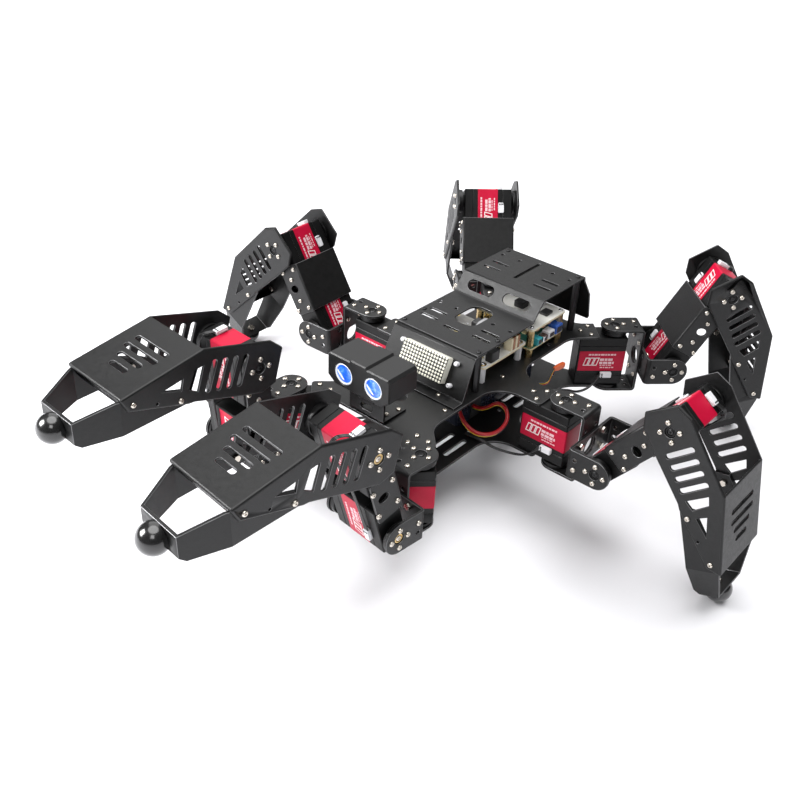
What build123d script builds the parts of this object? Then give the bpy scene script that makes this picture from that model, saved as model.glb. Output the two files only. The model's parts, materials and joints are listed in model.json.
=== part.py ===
"""Six-legged walking robot: sheet-metal chassis, electronics, head and six three-joint legs.

Frame: the origin is the centre of the bottom plate's underside, +X is forward, +Y is the
robot's left and +Z is up. Every leg yaws about a vertical hip axis, lifts about a pitch
axis and bends at a knee. All sizes are in millimetres and all angles in degrees.
"""

import os
from math import asin, cos, degrees, radians, sin, tan

from build123d import *

os.makedirs("parts", exist_ok=True)

# ---- Sheet stock and clearances ----
SHEET = 2.0  # chassis plates, brackets and leg sheet metal
DECK_SHEET = 1.5  # deck and front panel
GAP = 0.05  # between separate solids of one piece
SCREW_HOLE_R = 1.6

# ---- Servo, about its shaft: +X to the near end, +Z to the output face ----
CASE_NEAR, CASE_FAR = 10.0, -30.0
CASE_HALF_Y = 10.0
CASE_OUT, CASE_IDLE = 20.75, -22.75
BOSS_R, BOSS_TALL = 6.0, 1.2
BORE_R, SHAFT_R = 3.05, 3.0
BORE_DEPTH = 7.0
CASE_SCREWS_OUT = ((-20.5, 7.0), (-20.5, -7.0), (-28.0, 0.0))
CASE_SCREWS_IDLE = ((-27.5, 8.0), (-27.5, -8.0))

# ---- Horn discs and their screws ----
HORN_R = 10.5
HORN_PLAY = 0.3  # between a boss and the disc that turns over it
HUB_R, HUB_TOP = 3.6, 27.9
HORN_SCREW_RING = 7.0
SCREW_SHANK_R, SCREW_HEAD_R, SCREW_HEAD_TALL = 1.45, 2.0, 1.2

# ---- U bracket ----
EAR_IN, EAR_OUT = 26.75, 28.75
EAR_R = 11.5
WEB_OUT = 22.75
HIP_TO_PITCH = 45.56
MID_HEIGHT = 24.75  # middle of every hip bracket above the origin

# ---- Leg lengths ----
THIGH = 75.0
SHIN = 132.0
BALL_R = 9.7
BALL_FLAT = 128.5
FOOT_HEIGHT = -38.8  # ball centres of the four standing feet

# ---- Hip axes ----
HIP_X, HIP_Y = 123.64, 61.13
MID_HIP_Y = 94.25

# ---- Chassis plates ----
PLATE_GAP = 45.5  # bottom plate underside to top plate underside
BODY_HALF_X, WAIST_HALF_Y = 110.5, 42.0
ARM_HALF = 12.0
ARM_END = 14.3  # each arm stops this far short of its hip axis
PLATE_TOP = PLATE_GAP + SHEET

# ---- Deck, front panel and head ----
DECK_HALF = 38.0
LOW_DECK, HIGH_DECK = 80.5, 95.0
HEAD_FRONT, HEAD_BACK = 120.0, 91.5
HEAD_HALF = 28.5
HEAD_FLOOR, HEAD_TOP = 69.0, 92.5
EYE_Y, EYE_Z, EYE_R = 13.5, 80.05, 8.0


# =====================================================================================
# Leg frames
# =====================================================================================
def leg_frames(hip_x, hip_y, yaw, lift, shin=None):
    """Planes of one leg at rest; a standing leg's shin pitch follows from the floor."""
    side = 1 if hip_y > 0 else -1
    reach = Vector(cos(radians(yaw)), sin(radians(yaw)), 0)
    hinge = Vector(sin(radians(yaw)), -cos(radians(yaw)), 0)
    output = hinge * side
    up = Vector(0, 0, 1)
    hip = Vector(hip_x, hip_y, MID_HEIGHT)
    pitch = hip + reach * HIP_TO_PITCH
    thigh = reach * cos(radians(lift)) + up * sin(radians(lift))
    knee = pitch + thigh * THIGH
    if shin is None:
        shin = degrees(asin((FOOT_HEIGHT - knee.Z) / SHIN))
    calf = reach * cos(radians(shin)) + up * sin(radians(shin))
    return {
        "side": side,
        "hip_bracket": Plane(origin=hip, x_dir=reach, z_dir=up),
        "pitch_bracket": Plane(origin=pitch, x_dir=-reach, z_dir=output),
        "pitch_servo": Plane(origin=pitch, x_dir=-thigh, z_dir=output),
        "thigh": Plane(origin=pitch, x_dir=thigh, z_dir=hinge),
        "knee_servo": Plane(origin=knee, x_dir=thigh, z_dir=output),
        "knee_horns": Plane(origin=knee, x_dir=calf, z_dir=output),
        "shin": Plane(origin=knee, x_dir=calf, z_dir=hinge),
    }


LEGS = {
    "lf": leg_frames(HIP_X, HIP_Y, -5.2, 74.3, -0.9),
    "rf": leg_frames(HIP_X, -HIP_Y, -2.8, 86.3, 0.5),
    "lm": leg_frames(0, MID_HIP_Y, 90.0, 52.2),
    "rm": leg_frames(0, -MID_HIP_Y, -88.2, 58.1, -60.2),
    "lr": leg_frames(-HIP_X, HIP_Y, 135.4, 62.4, -74.6),
    "rr": leg_frames(-HIP_X, -HIP_Y, -135.6, 57.6, -64.0),
}

# Direction that each hip servo's near end points, from the body outwards.
ARM_ANGLES = {"lf": 45, "rf": -45, "lm": 90, "rm": -90, "lr": 135, "rr": -135}


def hip_servo_plane(leg, height):
    """Plane at a hip axis, +X outwards along the chassis arm."""
    outward = radians(ARM_ANGLES[leg])
    origin = LEGS[leg]["hip_bracket"].origin
    return Plane(
        origin=(origin.X, origin.Y, height),
        x_dir=(cos(outward), sin(outward), 0),
        z_dir=(0, 0, 1),
    )


def finish(builder, label):
    """Name a finished piece and write it."""
    builder.part.label = label
    export_step(builder.part, f"parts/{label}.step")


# =====================================================================================
# Servo
# =====================================================================================
CASE_LENGTH = CASE_NEAR - CASE_FAR
CASE_MID_X = (CASE_NEAR + CASE_FAR) / 2

with BuildPart() as servo:
    with BuildSketch(Plane.XY.offset(CASE_IDLE)):
        with Locations((CASE_MID_X, 0)):
            RectangleRounded(CASE_LENGTH, 2 * CASE_HALF_Y, 1.2)
    extrude(amount=CASE_OUT - CASE_IDLE)
    chamfer(servo.faces().sort_by(Axis.Z)[-1].edges(), 0.5)
    chamfer(servo.faces().sort_by(Axis.Z)[0].edges(), 0.5)
    # The case is three mouldings, so two shallow seams run round it.
    for seam in (-14.5, 13.0):
        with BuildSketch(Plane.XY.offset(seam)):
            with Locations((CASE_MID_X, 0)):
                Rectangle(CASE_LENGTH + 2, 2 * CASE_HALF_Y + 2)
                RectangleRounded(
                    CASE_LENGTH - 0.5, 2 * CASE_HALF_Y - 0.5, 1.0, mode=Mode.SUBTRACT
                )
        extrude(amount=0.4, mode=Mode.SUBTRACT)
    with BuildSketch(Plane.XY.offset(CASE_OUT)):
        Circle(BOSS_R)
    extrude(amount=BOSS_TALL)
    with BuildSketch(Plane.XY.offset(CASE_IDLE)):
        Circle(BOSS_R)
    extrude(amount=-BOSS_TALL)
    with BuildSketch(Plane.XY.offset(CASE_OUT + BOSS_TALL)):
        Circle(BORE_R)
    extrude(amount=-BORE_DEPTH, mode=Mode.SUBTRACT)
    with BuildSketch(Plane.XY.offset(CASE_IDLE - BOSS_TALL)):
        Circle(BORE_R)
    extrude(amount=BORE_DEPTH, mode=Mode.SUBTRACT)

# =====================================================================================
# Horn pair: a disc on each side of a servo, each with four screws through the ear
# =====================================================================================
OUT_DISC_LOW = CASE_OUT + BOSS_TALL + HORN_PLAY
IDLE_DISC_LOW = -CASE_IDLE + BOSS_TALL + HORN_PLAY


def horn(disc_low, shaft_low):
    """One disc with its hub and shaft, on +Z, and its four screws."""
    with BuildPart() as turned:
        with BuildSketch(Plane.XY.offset(disc_low)):
            Circle(HORN_R)
            with PolarLocations(HORN_SCREW_RING, 4):
                Circle(SCREW_SHANK_R + GAP, mode=Mode.SUBTRACT)
        extrude(amount=EAR_IN - disc_low)
        chamfer(
            turned.faces().sort_by(Axis.Z)[0].outer_wire().edges(),
            0.4,
        )
        with BuildSketch(Plane.XY.offset(EAR_IN)):
            Circle(HUB_R)
        extrude(amount=HUB_TOP - EAR_IN)
        with BuildSketch(Plane.XY.offset(shaft_low)):
            Circle(SHAFT_R)
        extrude(amount=disc_low - shaft_low)
        # Screws sit in the disc holes with a hair of clearance, so they stay separate.
        with BuildSketch(Plane.XY.offset(disc_low + 0.5)):
            with PolarLocations(HORN_SCREW_RING, 4):
                Circle(SCREW_SHANK_R)
        extrude(amount=EAR_OUT - disc_low - 0.5)
        with BuildSketch(Plane.XY.offset(EAR_OUT)):
            with PolarLocations(HORN_SCREW_RING, 4):
                Circle(SCREW_HEAD_R)
                Circle(0.9, mode=Mode.SUBTRACT)
        extrude(amount=SCREW_HEAD_TALL)
        with BuildSketch(Plane.XY.offset(EAR_OUT)):
            with PolarLocations(HORN_SCREW_RING, 4):
                Circle(0.9)
        extrude(amount=SCREW_HEAD_TALL - 0.8)
    return turned.part


out_horn = horn(OUT_DISC_LOW, CASE_OUT + BOSS_TALL - BORE_DEPTH + 0.5)
idle_horn = horn(IDLE_DISC_LOW, -CASE_IDLE + BOSS_TALL - BORE_DEPTH + 0.5)

with BuildPart() as horn_pair:
    add(out_horn)
    with Locations(Plane(origin=(0, 0, 0), x_dir=(1, 0, 0), z_dir=(0, 0, -1))):
        add(idle_horn)

# =====================================================================================
# U bracket: two round-ended ears about the hinge axis and a web
# =====================================================================================
with BuildPart() as u_bracket:
    with BuildSketch(Plane.XY):
        Circle(EAR_R)
        with Locations((WEB_OUT / 2, 0)):
            Rectangle(WEB_OUT, 2 * EAR_R)
    extrude(amount=EAR_OUT, both=True)
    with BuildSketch(Plane.XZ):
        with BuildLine():
            bend = FilletPolyline(
                (-EAR_R - 1, EAR_OUT),
                (WEB_OUT, EAR_OUT),
                (WEB_OUT, -EAR_OUT),
                (-EAR_R - 1, -EAR_OUT),
                radius=3.0,
            )
            Line(bend @ 0, bend @ 1)
        make_face()
        with BuildLine():
            hollow = FilletPolyline(
                (-EAR_R - 2, EAR_IN),
                (WEB_OUT - SHEET, EAR_IN),
                (WEB_OUT - SHEET, -EAR_IN),
                (-EAR_R - 2, -EAR_IN),
                radius=1.0,
            )
            Line(hollow @ 0, hollow @ 1)
        make_face(mode=Mode.SUBTRACT)
    extrude(amount=EAR_R + 1, both=True, mode=Mode.INTERSECT)
    with BuildSketch(Plane.XY):
        Circle(HUB_R + 0.4)
        with PolarLocations(HORN_SCREW_RING, 4):
            Circle(SCREW_HOLE_R)
        with Locations((16.5, 4), (16.5, -4)):
            Circle(1.7)
    extrude(amount=EAR_OUT + 1, both=True, mode=Mode.SUBTRACT)
    with BuildSketch(Plane.YZ.offset(WEB_OUT - SHEET - 1)):
        Circle(7.5)
        with GridLocations(14, 30, 2, 2):
            Circle(SCREW_HOLE_R)
    extrude(amount=SHEET + 2, mode=Mode.SUBTRACT)

# =====================================================================================
# Thigh frame: a channel that screws to the two servo cases
# =====================================================================================
FLANGE_LOW, FLANGE_HIGH = -9.0, 12.0
WEB_LOW = 10.0
OUT_FLANGE_X = (16.5, 58.5)
WEB_X = (17.0, 58.0)
IDLE_FLANGE_X = (20.0, 55.0)


def thigh_frame(side):
    """Channel with its wide flange on the output side, which is +Z where side is 1."""
    out_z, idle_z = CASE_OUT * side, CASE_IDLE * side
    with BuildPart() as frame:
        with BuildSketch(Plane.XY.offset(out_z)):
            with Locations((sum(OUT_FLANGE_X) / 2, (FLANGE_LOW + FLANGE_HIGH) / 2)):
                RectangleRounded(
                    OUT_FLANGE_X[1] - OUT_FLANGE_X[0], FLANGE_HIGH - FLANGE_LOW, 2.0
                )
            with Locations((THIGH / 2 + 1, -1)):
                Ellipse(3.3, 4.3, mode=Mode.SUBTRACT)
            for x, y in CASE_SCREWS_OUT:
                with Locations((-x, y), (THIGH + x, y)):
                    Circle(SCREW_HOLE_R, mode=Mode.SUBTRACT)
        extrude(amount=SHEET * side)
        with BuildSketch(Plane.XY.offset(idle_z)):
            with Locations((sum(IDLE_FLANGE_X) / 2, (FLANGE_LOW + FLANGE_HIGH) / 2)):
                RectangleRounded(
                    IDLE_FLANGE_X[1] - IDLE_FLANGE_X[0], FLANGE_HIGH - FLANGE_LOW, 2.0
                )
            with Locations((THIGH / 2 + 1, -1)):
                Ellipse(3.3, 4.3, mode=Mode.SUBTRACT)
            for x, y in CASE_SCREWS_IDLE:
                with Locations((-x, y), (THIGH + x, y)):
                    Circle(SCREW_HOLE_R, mode=Mode.SUBTRACT)
        extrude(amount=-SHEET * side)
        with BuildSketch(Plane.XZ.offset(-WEB_LOW)):
            with Locations((sum(WEB_X) / 2, (out_z + idle_z) / 2)):
                Rectangle(WEB_X[1] - WEB_X[0], CASE_OUT - CASE_IDLE + 2 * SHEET)
        extrude(amount=-(FLANGE_HIGH - WEB_LOW))
        corners = (
            frame.edges()
            .filter_by(Axis.X)
            .filter_by(lambda edge: edge.center().Y > FLANGE_HIGH - 0.1)
            .filter_by(lambda edge: abs(edge.center().Z) > CASE_OUT + 1)
            .filter_by(lambda edge: edge.length > 20)
        )
        fillet(corners, 1.4)
    return frame.part


thigh_frames = {1: thigh_frame(1), -1: thigh_frame(-1)}

# =====================================================================================
# Shin shell: two side plates joined by a slotted front panel
# =====================================================================================
SHIN_OUTLINE = (
    (-19.5, 8.5),
    (-10.0, 16.8),
    (42.8, 31.0),
    (103.0, 19.6),
    (98.0, 9.5),
    (56.0, -3.3),
    (52.0, -3.5),
    (20.0, -13.5),
    (-1.0, -19.5),
    (-13.0, -16.0),
)
PANEL_START, PANEL_END = Vector(42.8, 31.0), Vector(103.0, 19.6)
PANEL_RUN = (PANEL_END - PANEL_START).normalized()
PANEL_OUT = Vector(-PANEL_RUN.Y, PANEL_RUN.X)
FOOT_SCREWS = ((94.6, 13.5), (62.0, 2.2))

with BuildPart() as shin_shell:
    with BuildSketch(Plane.XY):
        with BuildLine():
            Polyline(*SHIN_OUTLINE, close=True)
        make_face()
        fillet(vertices(), 1.5)
    extrude(amount=EAR_OUT, both=True)
    # Hollow between the side plates, up to the underside of the front panel.
    under = PANEL_START - PANEL_OUT * SHEET
    with BuildSketch(Plane.XY):
        with BuildLine():
            Polyline(
                under - PANEL_RUN * 100,
                under + PANEL_RUN * 100,
                (150, -60),
                (-80, -60),
                close=True,
            )
        make_face()
    extrude(amount=EAR_IN, both=True, mode=Mode.SUBTRACT)
    # Clear the wedge above the rear edge, so the panel starts at its own bend.
    with BuildSketch(Plane.XY):
        with BuildLine():
            Polyline(
                PANEL_START,
                PANEL_START - PANEL_OUT * 12,
                (-40, -20),
                (-40, 60),
                (30, 60),
                close=True,
            )
        make_face()
    extrude(amount=EAR_IN, both=True, mode=Mode.SUBTRACT)
    # Openings through both side plates.
    with BuildSketch(Plane.XY):
        for k in range(4):
            with Locations(Location((14.3 + 8.1 * k, 4.6 + 1.9 * k, 0), (0, 0, -70.2))):
                SlotOverall(22.5, 4.0)
        with BuildLine():
            Polyline((43.5, 20), (50.5, 19), (55.5, 7), (49, 3), close=True)
        make_face()
        with BuildLine():
            Polyline((59, 16.5), (74.5, 13.5), (61, 8.5), close=True)
        make_face()
        Circle(HUB_R + 0.4)
        with PolarLocations(HORN_SCREW_RING, 4):
            Circle(SCREW_HOLE_R)
        with Locations((78.5, 7.0)):
            Circle(1.0)
        with Locations(*FOOT_SCREWS):
            Circle(SCREW_HOLE_R)
    extrude(amount=EAR_OUT + 1, both=True, mode=Mode.SUBTRACT)
    # Cross slots in the panel, shorter towards the foot.
    panel_face = Plane(
        origin=PANEL_START + PANEL_OUT,
        x_dir=PANEL_RUN,
        z_dir=PANEL_OUT,
    )
    with BuildSketch(panel_face):
        for run, length in ((18.3, 33), (26.8, 33), (34.8, 24), (43.0, 17)):
            with Locations(Location((run, 0, 0), (0, 0, 90))):
                SlotOverall(length, 4.0)
    extrude(amount=-(SHEET + 2), mode=Mode.SUBTRACT)
    bends = (
        shin_shell.edges()
        .filter_by(lambda edge: edge.length > 50)
        .filter_by(lambda edge: abs(abs(edge.center().Z) - EAR_OUT) < 0.01)
        .filter_by(lambda edge: edge.center().Y > 24)
        .filter_by(lambda edge: edge.center().X > 60)
    )
    fillet(bends, 1.5)

# =====================================================================================
# Foot bracket and ball
# =====================================================================================
NOSE_HALF = 16.75
STUD_R = 2.5

with BuildPart() as foot_bracket:
    with BuildSketch(Plane.XZ):
        with BuildLine():
            Polyline(
                (50, EAR_IN),
                (102, EAR_IN),
                (BALL_FLAT, NOSE_HALF),
                (BALL_FLAT, -NOSE_HALF),
                (102, -EAR_IN),
                (50, -EAR_IN),
                close=True,
            )
        make_face()
        offset(amount=-SHEET, kind=Kind.INTERSECTION, mode=Mode.SUBTRACT)
    extrude(amount=40, both=True)
    with BuildSketch(Plane.XY):
        with BuildLine():
            Polyline(
                (54.0, -3.4),
                (101.5, -6.3),
                (124.6, -8.4),
                (BALL_FLAT, -5.5),
                (BALL_FLAT, 9.0),
                (104.0, 17.0),
                (90.0, 17.5),
                (56.0, 7.0),
                close=True,
            )
        make_face()
    extrude(amount=40, both=True, mode=Mode.INTERSECT)
    with BuildSketch(Plane.XY):
        with Locations(*FOOT_SCREWS):
            Circle(SCREW_HOLE_R)
    extrude(amount=EAR_OUT, both=True, mode=Mode.SUBTRACT)
    with BuildSketch(Plane.YZ.offset(BALL_FLAT - SHEET - 1)):
        Circle(STUD_R + 0.1)
    extrude(amount=SHEET + 2, mode=Mode.SUBTRACT)

with BuildPart() as foot_ball:
    with Locations((SHIN, 0, 0)):
        Sphere(BALL_R)
    split(bisect_by=Plane.YZ.offset(BALL_FLAT), keep=Keep.TOP)
    with BuildSketch(Plane.YZ.offset(BALL_FLAT)):
        Circle(STUD_R)
    extrude(amount=-(SHEET + 1.5))

# =====================================================================================
# Chassis plates: body, two mid arms and four corner arms
# =====================================================================================
CORNER_LEGS = ("lf", "rf", "lr", "rr")
WAIST_FILLET = 20.0


def plate_sketch(hole_spots, slot_spots):
    """Plan of a chassis plate, with round holes (x, y, radius) and 26 x 4 slots (x, y)."""
    with BuildSketch(Plane.XY) as plan:
        Rectangle(2 * BODY_HALF_X, 2 * WAIST_HALF_Y)
        Rectangle(2 * ARM_HALF, 2 * (MID_HIP_Y - ARM_END))
        for leg in CORNER_LEGS:
            with Locations(hip_servo_plane(leg, 0)):
                with Locations((-ARM_END - 25, 0)):
                    Rectangle(50, 2 * ARM_HALF)
        corners = plan.vertices()
        waist = corners.filter_by(lambda v: abs(abs(v.Y) - WAIST_HALF_Y) < 0.01)
        ends = corners.filter_by(lambda v: abs(abs(v.X) - BODY_HALF_X) < 0.01)
        ends = ends.filter_by(lambda v: abs(v.Y) < WAIST_HALF_Y - 1)
        fillet(waist + ends, WAIST_FILLET)
        tips = plan.vertices().filter_by(lambda v: abs(v.Y) > WAIST_HALF_Y + 8)
        tips = tips.filter_by(
            lambda v: abs(v.Y) > MID_HIP_Y - ARM_END - 0.1 or abs(v.X) > 100
        )
        fillet(tips, 3.0)
        for x, y, radius in hole_spots:
            with Locations((x, y)):
                Circle(radius, mode=Mode.SUBTRACT)
        for x, y in slot_spots:
            with Locations((x, y)):
                SlotOverall(26, 4, mode=Mode.SUBTRACT)
    return plan.sketch


def arm_holes(case_screws):
    """Holes (x, y, radius) over the case screws of all six hip servos."""
    spots = []
    for leg in ARM_ANGLES:
        plane = hip_servo_plane(leg, 0)
        for x, y in case_screws:
            point = plane.from_local_coords(Vector(x, y, 0))
            spots.append((point.X, point.Y, SCREW_HOLE_R))
    return spots


def four_ways(x, y, radius):
    """The same hole in all four quadrants."""
    return [(sx * x, sy * y, radius) for sx in (1, -1) for sy in (1, -1)]


PANEL_SCREWS = ((55.6, 20.7), (55.6, -20.7))
HEAD_SCREWS = ((90.7, 13.0), (90.7, -13.0), (101.6, 11.1), (101.6, -11.1))
COMPUTER_POSTS = ((-78.5, -14.5), (-78.5, 34.5), (-38.5, -14.5), (-38.5, 34.5))
CONTROLLER_POSTS = ((17.4, 30.7), (17.4, -30.7), (-29.0, 30.7), (-29.0, -30.7))
PANEL_POSTS = ((30.5, 35.0), (30.5, -35.0))
DECK_POSTS = ((-99.0, 34.0), (-99.0, -34.0))
LEAD_HOLE = (14.0, 10.0)

with BuildPart() as bottom_plate:
    add(
        plate_sketch(
            arm_holes(CASE_SCREWS_IDLE)
            + four_ways(96, 26, 1.6)
            + four_ways(72, 26, 2.4)
            + four_ways(20, 26, 1.6)
            + [(96, 0, 6.0), (-96, 0, 6.0)],
            [(sx * 45, sy * y) for sx in (1, -1) for sy in (1, -1) for y in (20, 32)],
        )
    )
    extrude(amount=SHEET)
finish(bottom_plate, "bottom_plate")

top_holes = [
    (x, y, SCREW_HOLE_R)
    for x, y in PANEL_SCREWS
    + HEAD_SCREWS
    + COMPUTER_POSTS
    + CONTROLLER_POSTS
    + PANEL_POSTS
    + DECK_POSTS
]
with BuildPart() as top_plate:
    add(
        plate_sketch(
            arm_holes(CASE_SCREWS_OUT)
            + top_holes
            + four_ways(66.4, 35.6, 1.6)
            + [(0, 38, 1.6), (0, -38, 1.6), (*LEAD_HOLE, 5.0), (75, 0, 6.0)],
            [],
        )
    )
    extrude(amount=SHEET)
    top_plate.part = top_plate.part.moved(Location((0, 0, PLATE_GAP)))
finish(top_plate, "top_plate")

with BuildPart() as hip_servos:
    for leg in ARM_ANGLES:
        with Locations(hip_servo_plane(leg, MID_HEIGHT)):
            add(servo.part)
finish(hip_servos, "hip_servos")

# =====================================================================================
# Battery, circuit boards and leads
# =====================================================================================
BATTERY_X = (-78.0, 22.0)
BATTERY_HALF, BATTERY_TALL = 17.0, 25.0

with BuildPart() as battery:
    with BuildSketch(Plane.XY.offset(SHEET)):
        with Locations((sum(BATTERY_X) / 2, 0)):
            RectangleRounded(BATTERY_X[1] - BATTERY_X[0], 2 * BATTERY_HALF, 3.0)
    extrude(amount=BATTERY_TALL)
    fillet(battery.faces().sort_by(Axis.Z)[-1].edges(), 2.0)
finish(battery, "battery")

BOARD = 1.6
COMPUTER_BOX = (-82.0, -35.0, -18.0, 38.0)
EXPANSION_BOX = (-82.0, -35.0, -18.0, 38.0)
CONTROLLER_BOX = (-33.0, 22.0, -35.5, 35.5)
COMPUTER_LOW = 55.0
EXPANSION_LOW = 71.4
CONTROLLER_LOW = 61.4
PANEL_FLANGE_LOW = LOW_DECK - 2 * DECK_SHEET
POST_R = 2.75

with BuildPart() as circuit_boards:
    for box, low, corner in (
        (COMPUTER_BOX, COMPUTER_LOW, 3.0),
        (EXPANSION_BOX, EXPANSION_LOW, 3.0),
        (CONTROLLER_BOX, CONTROLLER_LOW, 3.0),
    ):
        x0, x1, y0, y1 = box
        with BuildSketch(Plane.XY.offset(low)):
            with Locations(((x0 + x1) / 2, (y0 + y1) / 2)):
                RectangleRounded(x1 - x0, y1 - y0, corner)
        extrude(amount=BOARD)
    for spots, low, high in (
        (COMPUTER_POSTS, PLATE_TOP, COMPUTER_LOW),
        (COMPUTER_POSTS, COMPUTER_LOW + BOARD, EXPANSION_LOW),
        (CONTROLLER_POSTS, PLATE_TOP, CONTROLLER_LOW),
        (PANEL_POSTS, PLATE_TOP, PANEL_FLANGE_LOW),
        (DECK_POSTS, PLATE_TOP, HIGH_DECK - DECK_SHEET),
    ):
        with BuildSketch(Plane.XY.offset(low + GAP)):
            with Locations(*spots):
                RegularPolygon(POST_R, 6)
        extrude(amount=high - low - 2 * GAP)
finish(circuit_boards, "circuit_boards")


def cord(path, radius):
    """A round cord along straight runs, with every bend as wide as its two runs allow."""
    points = [Vector(*point) for point in path]
    bends = []
    for before, corner, after in zip(points, points[1:], points[2:]):
        into, out_of = corner - before, after - corner
        turn = radians(into.get_angle(out_of))
        bends.append(0.45 * min(into.length, out_of.length) / tan(turn / 2))
    with BuildPart() as swept:
        with BuildLine() as route:
            FilletPolyline(*points, radius=bends)
        with BuildSketch(Plane(origin=route.line @ 0, z_dir=route.line % 0)):
            Circle(radius)
        sweep()
    run = sum(edge.length for edge in route.edges())
    print("cord: length", round(run, 1), "bends", [round(bend, 1) for bend in bends])
    return swept.part


# Hip servo leads, about the hip axis: out of the plug, down past the arm, over the plate.
PLUG_X, PLUG_Z = (-9.4, 0.4), (9.6, 14.4)
PLUG_THICK = 3.2
MID_LEAD = (
    (-9.4, -11.7, 12.0),
    (-13.5, -13.2, 6.5),
    (-19.5, -15.5, 1.2),
    (-30.0, -18.0, -0.8),
    (-43.0, -22.0, -0.4),
    (-51.5, -25.8, 4.6),
    (-66.0, -28.0, 5.0),
)
CORNER_LEAD = (
    (-9.4, -11.7, 12.0),
    (-13.0, -13.4, 6.5),
    (-19.0, -16.5, 1.5),
    (-29.0, -20.0, 0.0),
    (-37.5, -23.0, 4.6),
    (-52.0, -25.0, 5.4),
    (-66.0, -28.0, 4.6),
)
LEAD_R = 0.9
# The battery's lead: out of its left side, round in a loop, and up through the top plate.
BATTERY_LEAD = (
    (6.0, BATTERY_HALF + 0.05, 15.0),
    (6.0, 25.0, 15.0),
    (6.5, 33.5, 21.5),
    (7.5, 41.5, 30.0),
    (10.5, 51.5, 31.0),
    (15.0, 57.0, 23.0),
    (24.0, 53.0, 14.0),
    (32.0, 41.0, 12.0),
    (32.0, 27.0, 18.0),
    (25.0, 16.0, 28.0),
    (15.5, 10.5, 39.0),
    (*LEAD_HOLE, 52.0),
)
BATTERY_LEAD_R = 1.7

mid_lead = cord(MID_LEAD, LEAD_R)
corner_lead = cord(CORNER_LEAD, LEAD_R)
battery_lead = cord(BATTERY_LEAD, BATTERY_LEAD_R)

with BuildPart() as lead_plug:
    with BuildSketch(Plane.XY.offset(PLUG_Z[0])):
        with Locations((sum(PLUG_X) / 2, -CASE_HALF_Y - PLUG_THICK / 2)):
            Rectangle(PLUG_X[1] - PLUG_X[0], PLUG_THICK)
    extrude(amount=PLUG_Z[1] - PLUG_Z[0])

with BuildPart() as leads:
    for leg in ARM_ANGLES:
        with Locations(hip_servo_plane(leg, 0)):
            add(corner_lead if leg in CORNER_LEGS else mid_lead)
            add(lead_plug.part)
    add(battery_lead)
finish(leads, "leads")

# =====================================================================================
# Deck, front panel and LED matrix
# =====================================================================================
REAR_HALF = 43.0
RISER_TOP, RISER_FOOT = (-45.5, HIGH_DECK), (-34.1, LOW_DECK)
REAR_TOP, REAR_FOOT = (-104.5, HIGH_DECK), (-112.0, 56.5)

with BuildPart() as deck:
    with BuildSketch(Plane.XZ):
        with BuildLine():
            fold = FilletPolyline(
                (35.5, LOW_DECK), RISER_FOOT, RISER_TOP, REAR_TOP, REAR_FOOT, radius=1.8
            )
            offset(fold, amount=DECK_SHEET, side=Side.LEFT)
        make_face()
    extrude(amount=REAR_HALF, both=True)
    # The rear panel flares below the bend, so the rest is cut back to the deck width.
    with BuildSketch(Plane.XY):
        for side in (1, -1):
            with Locations((0, side * (DECK_HALF + 5))):
                Rectangle(208, 10)
    extrude(amount=120, mode=Mode.SUBTRACT)
    with BuildSketch(Plane.YZ.offset(-125)):
        Rectangle(100, 240)
        with BuildLine():
            Polyline(
                (DECK_HALF, 100),
                (DECK_HALF, 91),
                (REAR_HALF, 80),
                (REAR_HALF, 59),
                (REAR_HALF - 3, 50),
                (3 - REAR_HALF, 50),
                (-REAR_HALF, 59),
                (-REAR_HALF, 80),
                (-DECK_HALF, 91),
                (-DECK_HALF, 100),
                close=True,
            )
        make_face(mode=Mode.SUBTRACT)
    extrude(amount=21, mode=Mode.SUBTRACT)
    with BuildSketch(Plane.XY):
        for x, y, length, angle in (
            (3, 24.5, 16, 90),
            (3, -24.5, 16, 90),
            (14, 24.5, 16, 90),
            (14, -24.5, 16, 90),
            (17, -1, 14, 90),
            (-63, 24, 16, 90),
            (-63, -24, 16, 90),
            (-74.5, 24, 16, 90),
            (-74.5, -24, 16, 90),
            (-79, -1, 36, 0),
        ):
            with Locations(Location((x, y, 0), (0, 0, angle))):
                SlotOverall(length, 3)
        with Locations((-10.5, -0.75)):
            RectangleRounded(31, 20.5, 8)
        for x, y in (
            (-10.5, 17.5),
            (-10.5, 33.5),
            (30.5, 35.0),
            (7.5, 35.0),
            (-90, 16),
            (-89.5, 32.5),
            (-99, 34),
        ):
            with Locations((x, y), (x, -y)):
                Circle(SCREW_HOLE_R)
    extrude(amount=120, mode=Mode.SUBTRACT)
    riser_run = Vector(RISER_TOP[0] - RISER_FOOT[0], 0, RISER_TOP[1] - RISER_FOOT[1])
    riser_mid = Vector(*(RISER_TOP[0], 0, RISER_TOP[1])) - riser_run * 0.5
    with BuildSketch(
        Plane(origin=riser_mid, x_dir=(0, 1, 0), z_dir=riser_run.cross(Vector(0, 1, 0)))
    ):
        with Locations((17, 0), (-17, 0)):
            SlotOverall(25, 9)
    extrude(amount=5, both=True, mode=Mode.SUBTRACT)
finish(deck, "deck")

PANEL_TOP_X, PANEL_FOOT_X = 38.0, 52.0
PANEL_RISE = LOW_DECK - PLATE_TOP - 2 * DECK_SHEET
PANEL_TILT = Vector(PANEL_TOP_X - PANEL_FOOT_X, 0, PANEL_RISE).normalized()
PANEL_NORMAL = Vector(PANEL_TILT.Z, 0, -PANEL_TILT.X)

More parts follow.
